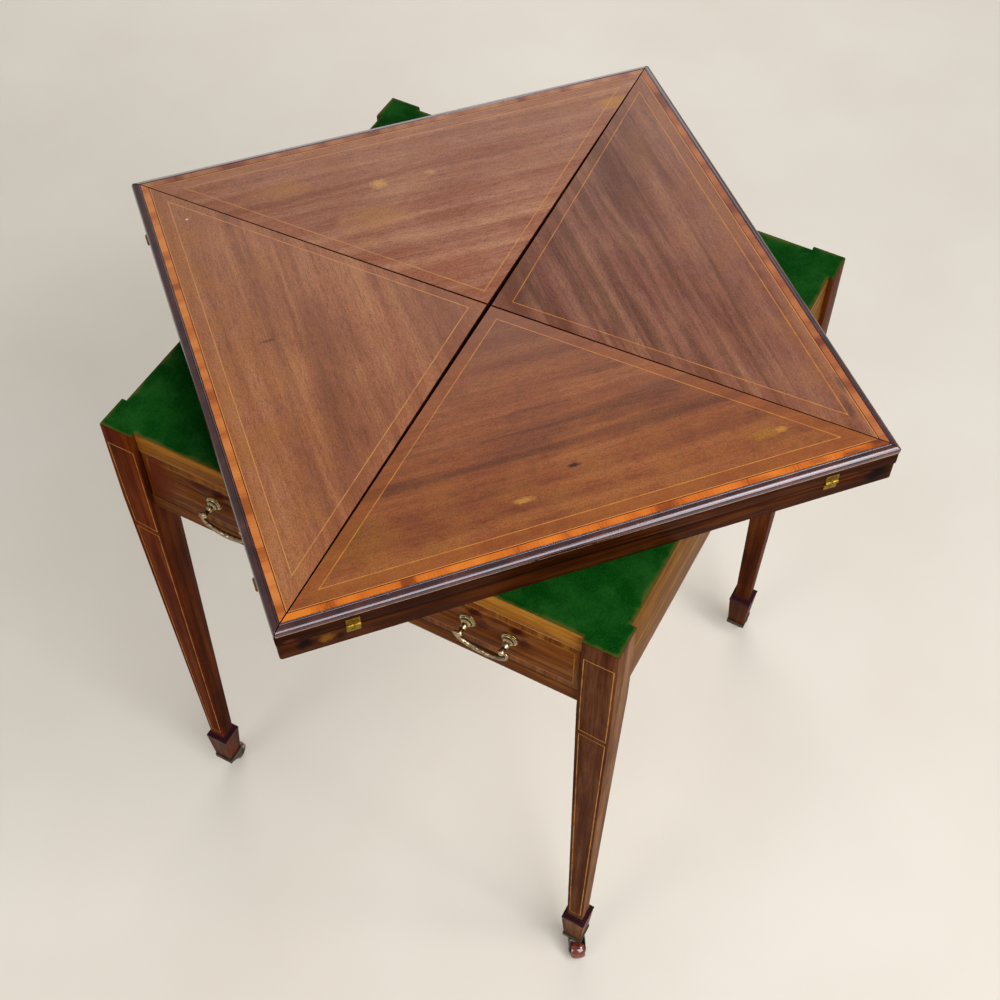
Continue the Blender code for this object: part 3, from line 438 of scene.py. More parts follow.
MARKS = {                       # stains and rubbed spots: middle and half sizes in mm, colour, strength
    "front": ((5, -202, 7, 3, "#341A12", 0.95), (-48, -223, 11, 4, "#B07C38", 0.8),
              (189, -226, 6, 4, "#B47E30", 0.9), (176, -226, 19, 7, "#96641F", 0.55),
              (-30, -168, 60, 6, "#4E2C22", 0.45), (238, -271, 14, 5, "#5A2A18", 0.7),
              (205, -268, 12, 4, "#7A3618", 0.6), (262, -266, 8, 4, "#4A2620", 0.6),
              (150, -270, 16, 4, "#8A3C14", 0.5), (110, -140, 45, 5, "#52302A", 0.4),
              (-200, -215, 45, 30, "#80561F", 0.35), (0, -48, 85, 50, "#5E3020", 0.3)),
    "right": ((-224, -256, 16, 5, "#3C3234", 0.65), (-196, -262.5, 14, 4, "#423434", 0.55),
              (-65, -125, 50, 5, "#4A2A20", 0.45), (90, -165, 60, 5, "#4A2A20", 0.40),
              (20, -30, 50, 30, "#45281C", 0.5), (150, -215, 50, 20, "#7A4A2A", 0.35)),
    "back": ((48, -193, 10, 9, "#B88A50", 0.75), (-6, -193, 6, 5, "#B08450", 0.6),
             (139, -216, 34, 18, "#9E6C3E", 0.5), (64, -148, 40, 22, "#A06E44", 0.5),
             (80, -118, 18, 8, "#A07448", 0.35), (-222, -232, 26, 12, "#A87432", 0.7),
             (10, -60, 40, 30, "#84442C", 0.3)),
    "left": ((-207, -239, 1.0, 2.4, "#E0C8A8", 0.9), (-25, -205, 2, 9, "#4A2A1C", 0.7),
             (60, -170, 60, 10, "#5E3626", 0.35), (-20, -150, 90, 8, "#5E3626", 0.3),
             (0, -48, 85, 55, "#6A3C2C", 0.35)),
}


def leaf_veneer(index, name):
    """Figured mahogany veneer with a boxwood string and a crossbanded edge, French polished.

    The eye sees a warm satin field, a thin gold triangle and an orange border of short dark blocks."""
    made, tree, place = finish("veneer_" + name)
    own = add(tree, "Mapping", {"Vector": place, "Rotation": (0, 0, -math.radians(TURN + 90 * index))})[0]
    out = add(tree, "Math", [add(tree, "SeparateXYZ", [own])[1], -1.0], operation="MULTIPLY")[0]
    field, pores = mahogany_grain(tree, own, FIELDS[name], ribbon=(3, 60), fleck=(110, 1300),
                                  lead=(index * 3.1, 0, 0))
    golden = add(tree, "MapRange", [out, 0.13, 0.27, 0.08, 0.60])[0]
    patchy = cloudy(tree, own, 30.0, [(0.40, 0.0), (0.62, 1.0)], 6.0, Roughness=0.65)
    golden = add(tree, "Math", [golden, patchy], operation="MULTIPLY")[0]
    # straight dark streaks along the grain, 8 to 15 mm wide and about 200 mm long
    near, far, strength = STREAKS[name]
    streak = drawn_noise(tree, own, (4.5, 75, 75), (index * 1.7, 0.3 * index, 0), Distortion=0.4)
    dark = add(tree, "ValToRGB", [streak], [(0.38, strength), (0.50, 0.0)])[0]
    where = add(tree, "ValToRGB", [add(tree, "MapRange", [out, 0.0, TOP_HALF])[0]], [
        (at / TOP_HALF, share) for at, share in (
            (near - 0.02, 0.0), (near + 0.01, 1.0), (far, 1.0), (far + 0.02, 0.0))])[0]
    dark = add(tree, "Math", [dark, where], operation="MULTIPLY")[0]
    field = laid_over(tree, field, (golden, "#945E2B" if index in (0, 3) else "#8D5A39"), (dark, "#482818"))
    field = marked(tree, own, field, [mark for mark in MARKS[name] if mark[1] > ON_BAND])
    # crazed polish: specks of about 1.5 mm, coarser than the real ones so that they show
    specks = cloudy(tree, own, 750.0, [(0.36, 0.74), (0.60, 1.06)])
    field = add(tree, "Mix", {0: 1.0, 6: field, 7: specks}, data_type="RGBA", blend_type="MULTIPLY")[2]
    border = laid_over(tree, field, (0.35 if name == "front" else 0.12, "#8A4818"))
    corners = [(x / 1000, y / 1000) for x, y in STRINGS[name]]
    inside = least(tree, *[line_distance(tree, own, corners[i], corners[(i + 1) % 3]) for i in range(3)])
    colour = laid_over(tree, field, (add(tree, "Math", [inside, 0.0], operation="LESS_THAN")[0], border))
    colour = inlaid(tree, own, colour, inside, 0.00042, "#BA7832" if index < 2 else "#B87E44", 60.0,
                    (0.3, 0.45), (0.6, 0.95))

    # the crossband: blocks 25 mm long with fine grain across the edge, 1 mm flecks
    blocks = drawn_noise(tree, own, (40 + 8 * index, 3, 3), (0.37 * index, 0, 0), Detail=1.0)
    fibre = drawn_noise(tree, own, (700, 60, 60))
    mixed = add(tree, "Math", [fibre, 0.35, blocks], operation="MULTIPLY_ADD")[0]
    band = add(tree, "ValToRGB", [mixed], [*zip((0.50, 0.62, 0.85), BANDS[name])])[0]
    past = add(tree, "Math", [out, BAND_START], operation="GREATER_THAN")[0]
    lines = [(add(tree, "Math", [out, level, half], operation="COMPARE")[0], tone)
             for level, half, tone in ((0.2647, 0.00035, "#3A1C12"), (0.2638, 0.0004, "#B9783A"))]
    colour = laid_over(tree, colour, (past, band), *lines)
    colour = marked(tree, own, colour, [mark for mark in MARKS[name] if mark[1] <= ON_BAND])
    rough = cloudy(tree, own, 9.0, [(0.3, 0.34), (0.7, 0.46)], 4.0)
    return surface(made, colour, pores, PORE_DEPTH, rough, IOR=1.46, Specular_IOR_Level=0.20)


def strung(name, tones, band, inside_of, turn, string="#B87C3C", half=0.0005, grain_turn=None, lip=False,
           stains=(), gap_shade=None):
    """Mahogany veneer with a boxwood string 1 mm wide; band is the colour outside it, or None."""
    made, tree, place = finish(name)
    colour, pores = mahogany_grain(tree, add(tree, "Mapping", {"Vector": place, "Rotation": turn})[0], tones)
    inside = inside_of(tree, place)
    if band:
        other, _ = mahogany_grain(tree, add(tree, "Mapping", {"Vector": place, "Rotation": grain_turn})[0], band)
        colour = laid_over(tree, colour, (add(tree, "Math", [inside, 0.0], operation="LESS_THAN")[0], other))
    colour = inlaid(tree, place, colour, inside, half, string, 70.0, (0.32, 0.35), (0.6, 0.9))
    colour = marked(tree, place, colour, stains, up=True)
    # painted shade: the gaps round the drawer front, drawn near black along its ends and lower edge
    if gap_shade:
        colour = laid_over(tree, colour, (gap_shade(tree, place), "#140804"))
    return dry_polish(made, place, colour, pores, lip=lip)


def leg_panels(centre_x):
    """Two strung panels on a leg's face: one level with the frieze and one that tapers to the ankle."""
    def inside_of(tree, place):
        inset = 0.0029
        parts = add(tree, "SeparateXYZ", [place])
        across = add(tree, "Math", [parts[0], centre_x], operation="SUBTRACT")[0]
        across = add(tree, "Math", [across], operation="ABSOLUTE")[0]
        half = add(tree, "MapRange", [parts[2], ANKLE_Z, LEG_STRAIGHT_END, ANKLE_HALF - inset, LEG_HALF - inset])[0]
        side = add(tree, "Math", [half, across], operation="SUBTRACT")[0]
        panels = []
        for low, high in ((BASE_TOP - 0.151, BASE_TOP - 0.026), (ANKLE_Z + 0.010, BASE_TOP - 0.159)):
            above = add(tree, "Math", [parts[2], low], operation="SUBTRACT")[0]
            below = add(tree, "Math", [high, parts[2]], operation="SUBTRACT")[0]
            panels.append(least(tree, side, above, below))
        return least(tree, *panels, operation="MAXIMUM")
    return inside_of


def drawer_panel(low, high):
    """The string on the drawer front, 6.6 mm in from its ends."""
    def inside_of(tree, place):
        parts = add(tree, "SeparateXYZ", [place])
        across = add(tree, "Math", [parts[0]], operation="ABSOLUTE")[0]
        side = add(tree, "Math", [DRAWER_HALF - 0.0066, across], operation="SUBTRACT")[0]
        above = add(tree, "Math", [parts[2], low + 0.0100], operation="SUBTRACT")[0]
        below = add(tree, "Math", [high - 0.0084, parts[2]], operation="SUBTRACT")[0]
        return least(tree, side, above, below)
    return inside_of


def drawer_gap_shade(low):
    """Share of the painted shade of the gaps round the drawer front, on the outermost millimetre of its ends and
    lower edge.
    """
    def share(tree, place):
        parts = add(tree, "SeparateXYZ", [place])
        across = add(tree, "Math", [parts[0]], operation="ABSOLUTE")[0]
        side = add(tree, "Math", [DRAWER_HALF, across], operation="SUBTRACT")[0]
        above = add(tree, "Math", [parts[2], low], operation="SUBTRACT")[0]
        return add(tree, "MapRange", [least(tree, side, above), 0.0011, 0.0022, 0.92, 0.0])[0]
    return share


def apron_line(level):
    """A string along an apron just above its lower edge."""
    return lambda tree, place: add(tree, "Math", [add(tree, "SeparateXYZ", [place])[2], level],
                                   operation="SUBTRACT")[0]


def lining_wood(name, turn=(0, 0, 0)):
    """Bare pine and cedar lining, planed and never polished: pale, dry and dull, with soft year rings."""
    made, tree, place = finish(name)
    along = add(tree, "Mapping", {"Vector": place, "Rotation": turn})[0]
    rings = drawn_noise(tree, along, (4, 110, 110), Detail=5.0, Distortion=0.8)
    fibre = drawn_noise(tree, along, (70, 1300, 1300))
    tone = add(tree, "Math", [fibre, 0.25, rings], operation="MULTIPLY_ADD")[0]
    colour = add(tree, "ValToRGB", [tone], [(0.45, "#8A6A44"), (0.62, "#A88458"), (0.80, "#BC9A6E")])[0]
    return surface(made, colour, fibre, 0.00012, Roughness=0.62, IOR=1.5)


def black_moulding():
    """Stained and French polished moulding: near black with a purple cast, glossy, its arrises rubbed pale."""
    made, tree, place = finish("black_moulding")
    patch = add(tree, "TexNoise", {"Vector": place, "Scale": 45.0, "Detail": 4.0, "Roughness": 0.6})[0]
    colour = add(tree, "ValToRGB", [patch], [(0.35, "#240D0B"), (0.60, "#3E1B14"), (0.80, "#56382C")])[0]
    chips = add(tree, "TexNoise", {"Vector": place, "Scale": 240.0})[0]
    colour = laid_over(tree, colour, (add(tree, "ValToRGB", [chips], [(0.72, 0.0), (0.78, 0.6)])[0], "#8A5E4A"))
    out = reach_out(tree, add(tree, "Mapping", {"Vector": place, "Rotation": GRAIN_TOP})[0])
    broken = add(tree, "TexNoise", {"Vector": place, "Scale": 110.0, "Detail": 3.0})[0]
    for value, level, half, low, tone in (
            (add(tree, "SeparateXYZ", [place])[2], TOP - 0.0065, 0.0005, 0.34, "#B88A6C"),
            (out, TOP_HALF - MOULDING_WIDTH + FIT + 0.0003, 0.0002, 0.54, "#786470")):
        worn = add(tree, "Math", [value, level, half], operation="COMPARE")[0]
        part = add(tree, "ValToRGB", [broken], [(low, 0.0), (low + 0.12, 0.65)])[0]
        colour = laid_over(tree, colour, (add(tree, "Math", [worn, part], operation="MULTIPLY")[0], tone))
    rough = add(tree, "ValToRGB", [patch], [(0.3, 0.18), (0.7, 0.28)])[0]
    return surface(made, colour, chips, 0.000005, rough, IOR=1.5, Specular_Tint=linear("#E8D0E4"), Coat_Weight=0.7,
                   Coat_Roughness=0.14, Coat_IOR=1.6)


def wool_baize(name, rim=None):
    """Green wool baize, milled and glued down: a deep green nap that drinks light, faded olive at its edges, with a
    painted pale haze of light near them.

    rim gives the distance from the cloth's edge, where hands and the turning top have worn it."""
    made, tree, place = finish(name)
    nap = add(tree, "TexNoise", {"Vector": place, "Scale": 900.0, "Detail": 3.0, "Roughness": 0.7})[0]
    brush = add(tree, "TexNoise", {"Vector": place, "Scale": 38.0, "Detail": 4.0, "Roughness": 0.6})[0]
    tone = add(tree, "Math", [brush, 0.45, nap], operation="MULTIPLY_ADD")[0]
    colour = add(tree, "ValToRGB", [tone], [(0.50, "#002602"), (0.72, "#033705"), (0.95, "#0C4C0E")])[0]
    if rim:
        inside = rim(tree, place)
        near = add(tree, "MapRange", [inside, 0.0, 0.055, 0.28, 0.0])[0]
        # painted light: a pale green haze, in patches, within 55 mm of the cloth's edge
        glare_patches = add(tree, "ValToRGB", [brush], [(0.42, 0.0), (0.62, 1.0)])[0]
        rim_glare = add(tree, "Math", [near, glare_patches], operation="MULTIPLY")[0]
        ragged = add(tree, "Math", [nap, 0.007, inside], operation="MULTIPLY_ADD")[0]
        ragged = add(tree, "Math", [brush, -0.012, ragged], operation="MULTIPLY_ADD")[0]
        rubbed = add(tree, "MapRange", [ragged, -0.0022, 0.0009, 0.70, 0.0])[0]
        colour = laid_over(tree, colour, (rim_glare, "#2A5424"), (rubbed, "#524C1C"))
    return surface(made, colour, nap, 0.0003, Roughness=0.95, IOR=1.5, Specular_IOR_Level=0.05,
                   Sheen_Weight=0.04, Sheen_Roughness=0.5, Sheen_Tint=linear("#5E9A58"))


def base_cloth_rim(tree, place):
    """Distance from the edge of the cloth on the base, which runs out over the tops of the legs."""
    on_leg = add(tree, "Math", [reach_out(tree, place, "MINIMUM"), CLOTH_LEG], operation="GREATER_THAN")[0]
    reach = add(tree, "Math", [on_leg, CLOTH_OUT - CLOTH_RAIL, CLOTH_RAIL], operation="MULTIPLY_ADD")[0]
    return add(tree, "Math", [reach, reach_out(tree, place)], operation="SUBTRACT")[0]


def aged_brass(name, pale, dark, scale=500.0, roughness=0.30, hollows=(), spots=0.2):
    """Lacquered brass castings gone dull: pale yellow on what hands rub, dark brown in the hollows.

    hollows are heights (low, high) off the drawer front between which dirt has gathered."""
    made, tree, place = finish(name)
    film = add(tree, "TexNoise", {"Vector": place, "Scale": scale, "Detail": 4.0, "Roughness": 0.6})[0]
    colour = add(tree, "ValToRGB", [film], [(0.26, dark), (0.26 + spots, pale)])[0]
    if hollows:
        proud = add(tree, "Math", [-FRIEZE_FACE, add(tree, "SeparateXYZ", [place])[1]], operation="SUBTRACT")[0]
        for low, high in hollows:
            at = add(tree, "Math", [proud, (low + high) / 2, (high - low) / 2], operation="COMPARE")[0]
            colour = laid_over(tree, colour, (add(tree, "Math", [at, 0.85], operation="MULTIPLY")[0], dark))
    rough = add(tree, "ValToRGB", [film], [(0.35, roughness + 0.22), (0.6, roughness)])[0]
    return surface(made, colour, film, 0.00001, rough, Metallic=1.0)


def glazed_ceramic():
    """Brown glazed ceramic wheel: deep red brown under a wet shine."""
    made, tree, place = finish("glazed_brown_ceramic")
    pool = add(tree, "TexNoise", {"Vector": place, "Scale": 160.0})[0]
    colour = add(tree, "ValToRGB", [pool], [(0.3, "#36130B"), (0.7, "#7C3220")])[0]
    return surface(made, colour, pool, 0.00003, Roughness=0.12, IOR=1.52, Coat_Weight=0.7, Coat_Roughness=0.05)


def plain_steel():
    """Turned steel bolt and washer, oiled and grey with age."""
    made, tree, place = finish("plain_steel")
    film = add(tree, "TexNoise", {"Vector": place, "Scale": 220.0, "Detail": 3.0})[0]
    colour = add(tree, "ValToRGB", [film], [(0.35, "#6C6A66"), (0.6, "#8E8D8A")])[0]
    return surface(made, colour, film, 0.00005, Roughness=0.42, Metallic=1.0)


EDGE_MARKS = [(x, 1000 * SEAM + z, *rest) for x, z, *rest in (   # on the top's edges, by height from the seam
    (-238, -9, 8, 7, "#6E4410", 0.9), (-256, -8, 10, 9, "#0E0604", 0.95), (-226, -12, 5, 6, "#160804", 0.7),
    (262, -8, 16, 12, "#0C0606", 0.9), (-268, 4, 7, 3, "#5E2A14", 0.6), (120, -10, 40, 6, "#5E3010", 0.4),
    (-90, -10, 50, 7, "#54280C", 0.4), (30, 6, 60, 4, "#1C0A04", 0.4))]
VENEERS = [leaf_veneer(index, name) for index, name in enumerate(LEAVES)]
DEEP = ("#361406", "#4C220A", "#623214")
WARM = ("#562E0C", "#6E4413", "#845C24")
REDDISH = ("#401000", "#561E00", "#6E3104")
BROWN = ("#3C1C0E", "#502A16", "#663E24")
SHADED = ("#2E1002", "#461A04", "#5A2808")
RECESS_SHADE_TONES = ("#060302", "#0C0503", "#160905")
LIT_TONES = ("#4E2A14", "#684124", "#82593A")
GOLDEN = ("#6E3E0E", "#8A5416", "#A47028")
LEG_WOOD = mahogany("leg_mahogany", DEEP, turn=GRAIN_UP, lip=True)
# painted light: a lighter copy of the leg mahogany for the front right leg's lit faces
LEG_PAINTED_LIGHT = mahogany("leg_mahogany_sunned", LIT_TONES, turn=GRAIN_UP, lip=True)
LEG_SHADED = mahogany("leg_mahogany_shaded", SHADED, turn=GRAIN_UP, lip=True)
# painted shade: a near-black copy of the leg mahogany for the recess beside the drawer
LEG_RECESS_SHADE = mahogany("leg_mahogany_dirty", RECESS_SHADE_TONES, turn=GRAIN_UP, roughness=0.6)
FRIEZE_WOOD_X = mahogany("frieze_mahogany_long", DEEP)
FRIEZE_WOOD_Y = mahogany("frieze_mahogany_deep", DEEP, turn=GRAIN_BACK)
RAIL_WOOD = mahogany("golden_rail_mahogany", GOLDEN, roughness=0.46)
# painted shade: a darker copy of the rail mahogany for the bottom rail, which lies in shade
SHADED_RAIL_WOOD = mahogany("brown_rail_mahogany", ("#50280E", "#663814", "#7C4C1E"), roughness=0.46)
EDGE_TONES = ("#1E0A03", "#361606", "#50280E")
EDGE_WEAR = ((SEAM + 0.0006, 0.0009, "#0A0402", 0.20, 0.30), (SEAM - 0.0008, 0.0005, "#B88464", 0.40, 0.54))
EDGE_WOOD = mahogany("leaf_edge_mahogany", EDGE_TONES, turn=GRAIN_TOP, level=0.05, worn=EDGE_WEAR,
                     marks=EDGE_MARKS)
SIDE_WOOD = mahogany("leaf_side_mahogany", EDGE_TONES, turn=GRAIN_SIDE, level=0.05, worn=EDGE_WEAR)
UNDER_WOOD = mahogany("leaf_inner_mahogany", DEEP, turn=GRAIN_TOP)
LINING_X = lining_wood("lining_wood_across")
LINING_Y = lining_wood("lining_wood_back", turn=GRAIN_BACK)
MOULDING = black_moulding()
CLOTH = wool_baize("green_wool_baize")
BASE_CLOTH = wool_baize("green_wool_baize_of_base", base_cloth_rim)
HANDLE_BRASS = aged_brass("handle_brass", "#BCA67C", "#2E2010", roughness=0.22,
                          hollows=((0.0007, 0.0013), (0.0028, 0.0034), (0.0052, 0.0068), (0.0108, 0.0128)))
BAIL_BRASS = aged_brass("bail_brass", "#B29C7C", "#2A1C12", scale=650.0, roughness=0.26, spots=0.34)
HINGE_BRASS = aged_brass("hinge_brass", "#896D20", "#3C2E0A", scale=700.0, roughness=0.36)
HINGE_DULL = aged_brass("hinge_brass_unrubbed", "#6E5410", "#302406", scale=700.0, roughness=0.45)
CASTOR_METAL = aged_brass("castor_metal", "#4A4A40", "#1C1D18", scale=400.0, roughness=0.42)
CERAMIC = glazed_ceramic()
STEEL = plain_steel()


# Carried-over nodes that keep their shapes

for node, wood in (("base_board", LINING_X), ("pivot_rail", LINING_X), ("drawer_back", LINING_X),
                   ("drawer_bottom", LINING_X), ("drawer_side_left", LINING_Y), ("drawer_side_right", LINING_Y),
                   ("drawer_runner_left", LINING_Y), ("drawer_runner_right", LINING_Y), ("pivot_bolt", STEEL)):
    NODES[node].data.materials.clear()
    NODES[node].data.materials.append(wood)


# Base

def make_legs():
    """Legs whose faces differ as the photo shows them: strung in front, painted lighter where lit, painted darker
    where shaded, and near black in the recess beside the drawer.
    """
    lip_top, lip_half, foot_top = FOOT_LIP_LOW + 0.005, 0.0132, 0.08
    for name, (x, y) in CORNERS.items():
        leg = eased("leg_" + name, 0.0005, rounder=(
            lambda p, x=x, y=y: abs(p.z - lip_top) < 0.0002
            and max(abs(p.x - x * LEG_OFFSET), abs(p.y - y * LEG_OFFSET)) > lip_half, 0.0011))
        front = strung("leg_front_" + name, REDDISH if x < 0 else BROWN, None, leg_panels(x * LEG_OFFSET), GRAIN_UP,
                       lip=True)
        others = [(front, lambda centre, normal: normal.y < -FACING and centre.z > foot_top)] if y < 0 else []
        # painted light: the front right leg's right face and its foot's front take the lighter copy
        if name == "front_right":
            others.append((LEG_PAINTED_LIGHT, lambda centre, normal: normal.x > FACING
                           or (normal.y < -FACING and centre.z < foot_top)))
        if name == "front_left":
            others.append((LEG_SHADED, lambda centre, normal: normal.x > FACING))
        if y < 0:       # painted shade: the side faces beside the drawer lie in a deep narrow recess and are drawn near black
            others.append((LEG_RECESS_SHADE, lambda centre, normal, x=x: normal.x * x < -FACING
                           and centre.z > LEG_STRAIGHT_END))
        show(leg, "base", LEG_WOOD, others)


def make_frieze():
    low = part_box("apron_left")[0].z
    lined = strung("apron_veneer", WARM, None, apron_line(low + 0.0035), GRAIN_BACK, half=0.0004)
    for side, sign in (("left", -1), ("right", 1)):
        show(eased("apron_" + side, 0.0004), "base", FRIEZE_WOOD_Y,
             [(lined, lambda centre, normal, sign=sign: normal.x * sign > FACING)])
    show(eased("apron_back", 0.0004), "base", FRIEZE_WOOD_X)
    for node, wood in (("drawer_rail_top", RAIL_WOOD), ("drawer_rail_bottom", SHADED_RAIL_WOOD)):
        show(eased(node, 0.0004), "base", wood)


def make_drawer_front():
    low, high = (corner.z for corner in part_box("drawer_front"))
    # hands and metal polish have left dark stains above and beside the handles' roses
    stains = [(1000 * (JOINTS["bail_%s_swing" % side]["pos_m"][0] + end * HANDLE_HALF) + x, 1000 * HANDLE_Z + z,
               a, b, "#330C05", share)
              for side in ("left", "right") for end in (-1, 1)
              for x, z, a, b, share in ((7, 17, 11, 8, 1.0), (-12, 19, 16, 5, 0.7), (14, 3, 7, 10, 0.7))]
    stains.append((-212, 1000 * HANDLE_Z, 18, 55, "#561A02", 0.9))
    face = strung("drawer_front_veneer", ("#4A1F06", "#66350D", "#7E4B1A"), ("#502308", "#6C3A0E", "#84511C"),
                  drawer_panel(low, high), (0, 0, 0), grain_turn=GRAIN_UP, string="#9C6630", stains=stains,
                  gap_shade=drawer_gap_shade(low))
    show(eased("drawer_front", 0.0004), "drawer", LINING_X,
         [(face, lambda centre, normal: normal.y < -FACING)])


# Top

def make_mouldings():
    """Each leaf's edge moulding: a small bead by the veneer, then a broad nose, mitred on the diagonals."""
    width, drop = MOULDING_WIDTH - FIT, 0.0076
    bead = [(0.13 - 0.08 * math.cos(math.radians(a)), 0.08 - 0.08 * math.sin(math.radians(a)))
            for a in range(0, 181, 30)]
    nose = [(0.25 + 0.75 * math.sin(math.radians(a)) ** 0.95, 0.80 - 0.68 * math.cos(math.radians(a)) ** 0.95)
            for a in range(0, 91, 10)]
    section = [(0.0, 0.0), (0.04, 0.0)] + bead + [(0.22, 0.15), (0.24, 0.16)] + nose
    section += [(0.99, 0.88), (0.95, 0.96), (0.90, 1.00), (0.0, 1.00)]
    for index, name in enumerate(LEAVES):
        left_gap, right_gap = GAPS if index % 2 == 0 else GAPS[::-1]
        points = [(-0.3, -TOP_HALF + width * (1 - u), TOP - drop * v) for u, v in section]
        piece = drawn_out("moulding_" + name, points, (0.6, 0, 0))
        for side, (gap, corner_gap) in ((-1, left_gap), (1, right_gap)):
            square = Vector((side, 1, 0)).normalized()
            along = Vector((side * AXIS, -AXIS, 0)) - square * (corner_gap - gap)
            along.normalize()
            cut(-square * gap, square - along * along.dot(square))
            corner = Vector((side * (TOP_HALF - TOP_CORNER), TOP_CORNER - TOP_HALF, 0))
            for turn in (42, 33, 24, 15, 6):
                away = Vector((side * math.sin(math.radians(turn)), -math.cos(math.radians(turn)), 0))
                cut(corner + away * TOP_CORNER, away)
        done(piece)
        modified(piece, "BEVEL", width=0.0002, segments=1, limit_method="ANGLE", angle_limit=math.radians(50))
        smoothed(piece, 38)
        set_down(piece, top_frame(index))
        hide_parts("leaf_%s_moulding" % name)
        show(piece, "leaf_" + name, MOULDING)


def screw(name, centre, turn, radius):
    """A countersunk screw head facing -Y with a sunk slot."""
    head = spun(name, [(0, 0.0001), (radius * 0.8, 0.0001), (radius, -0.00005), (radius, -0.0006), (0, -0.0006)],
                (0, 0, 0), (0, -1, 0), 24, 30)
    bpy.ops.object.select_all(action="DESELECT")
    bpy.ops.mesh.primitive_cube_add(size=1)
    slot = bpy.context.object
    for corner in slot.data.vertices:
        corner.co = (corner.co.x * radius * 1.7, corner.co.y * 0.0006 - 0.0002, corner.co.z * radius * 0.28)
    set_down(slot, Matrix.Rotation(math.radians(turn), 4, "Y"))
    modified(head, "BOOLEAN", object=slot, operation="DIFFERENCE", solver="EXACT")
    bpy.data.objects.remove(slot)
    return set_down(head, Matrix.Translation(centre))


def make_leaves():
    for index, name in enumerate(LEAVES):
        board = eased("leaf_%s_board" % name, 0.0002)
        show(board, "leaf_" + name, SIDE_WOOD if index % 2 else EDGE_WOOD,
             [(VENEERS[index], lambda centre, normal: normal.z > 0.5 and centre.z > TOP - 0.0008),
              (UNDER_WOOD, lambda centre, normal: normal.z < -FACING)])


def make_bed():
    """The bed under the leaves, its hinge halves painted as brass by their place outside its edge."""
    def on_hinge(centre, normal):
        for index in range(4):
            spot = top_frame(index).inverted() @ centre
            aside = abs(abs(spot.x) - HINGE_OFFSET)
            if spot.y < BED_INSET - AXIS - 0.00005 and aside < 0.011:
                return True
            if spot.y < 0.004 - AXIS and aside < 0.008 and centre.z > SEAM - 0.0021:
                return True
        return False
    sideways = top_frame(0).to_3x3() @ Vector((1, 0, 0))
    show(eased("bed_board", 0.0003), "top", EDGE_WOOD,
         [(SIDE_WOOD, lambda centre, normal: abs(normal.dot(sideways)) > FACING),
          (UNDER_WOOD, lambda centre, normal: abs(normal.z) > FACING), (HINGE_BRASS, on_hinge)])


def rubbed_rim(piece, facing, rim, finish):
    """Inset the large faces that look this way, and give what lies inside the rim its own finish."""
    piece.data.materials.append(finish)
    edit(piece)
    choose(piece, "faces", lambda face: face.normal.dot(facing) > 0.98 and face.calc_area() > 4e-5)
    bpy.ops.mesh.inset(thickness=rim, depth=-0.00008)
    mesh = bmesh.from_edit_mesh(piece.data)
    for face in mesh.faces:
        if face.select:
            face.material_index = len(piece.data.materials) - 1
    bmesh.update_edit_mesh(piece.data)
    bpy.ops.object.mode_set(mode="OBJECT")


def make_hinges():
    """The leaves' hinge halves eased, their plates dull inside a rubbed rim, and a slotted screw in each half."""
    for index, name in enumerate(LEAVES):
        facing = top_frame(index).to_3x3() @ Vector((0, -1, 0))
        for end, side in (("left", -1), ("right", 1)):
            node = "leaf_%s_hinge_%s" % (name, end)
            hinge = eased(node, 0.00015)
            show(hinge, "leaf_" + name, HINGE_BRASS)
            rubbed_rim(hinge, facing, 0.0011, HINGE_DULL)
            for half, body, proud in ((1, "leaf_" + name, 0.0002), (-1, "top", -0.0006)):
                middle = (side * HINGE_OFFSET, -AXIS - proud, SEAM + half * 0.0058)
                head = screw("screw_%s_%s_%s" % (name, end, "up" if half > 0 else "down"), middle,
                             23 + 61 * index + 37 * side + 50 * half, 0.0019)
                set_down(head, top_frame(index))
                show(head, body, HINGE_DULL)


# Drawer handles

def make_handles():
    rose = [(0, 0.0185), (0.0011, 0.0183), (0.0022, 0.0176), (0.0029, 0.0166), (0.0032, 0.0154),
            (0.0029, 0.0142), (0.0023, 0.0134), (0.0020, 0.0126), (0.0021, 0.0112), (0.0024, 0.0100),
            (0.0031, 0.0090), (0.0034, 0.0082), (0.0031, 0.0074), (0.0024, 0.0066), (0.0023, 0.0058),
            (0.0030, 0.0050), (0.0043, 0.0045), (0.0049, 0.0041), (0.0049, 0.0037), (0.0046, 0.0034),
            (0.0052, 0.0031), (0.0062, 0.0027), (0.0066, 0.0023), (0.0066, 0.0019), (0.0063, 0.0017),
            (0.0074, 0.0014), (0.0082, 0.0010), (0.0084, 0.0006), (0.0082, 0.0003),
            (0.0020, 0.0003), (0.0020, -0.0235), (0, -0.0235)]
    for side in ("left", "right"):
        middle = JOINTS["bail_%s_swing" % side]["pos_m"][0]
        for end, sign in (("left", -1), ("right", 1)):
            x = middle + sign * HANDLE_HALF
            post = spun("post", rose, (x, -FRIEZE_FACE, HANDLE_Z), (0, -1, 0), 40)
            hexagon = [(x + 0.005 * math.cos(math.radians(a)), -FRIEZE_FACE + 0.0183,
                        HANDLE_Z + 0.005 * math.sin(math.radians(a))) for a in range(0, 360, 60)]
            nut = done(drawn_out("nut", hexagon, (0, 0.003, 0)), 30)
            modified(nut, "BEVEL", width=0.0003, segments=1, limit_method="ANGLE")
            post = joined([post, nut], "handle_post_%s_%s_turned" % (side, end))
            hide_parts("handle_post_%s_%s" % (side, end))
            show(post, "drawer", HANDLE_BRASS)
        bail = make_bail(side, middle)
        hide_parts("bail_" + side)
        show(bail, "bail_" + side, BAIL_BRASS)


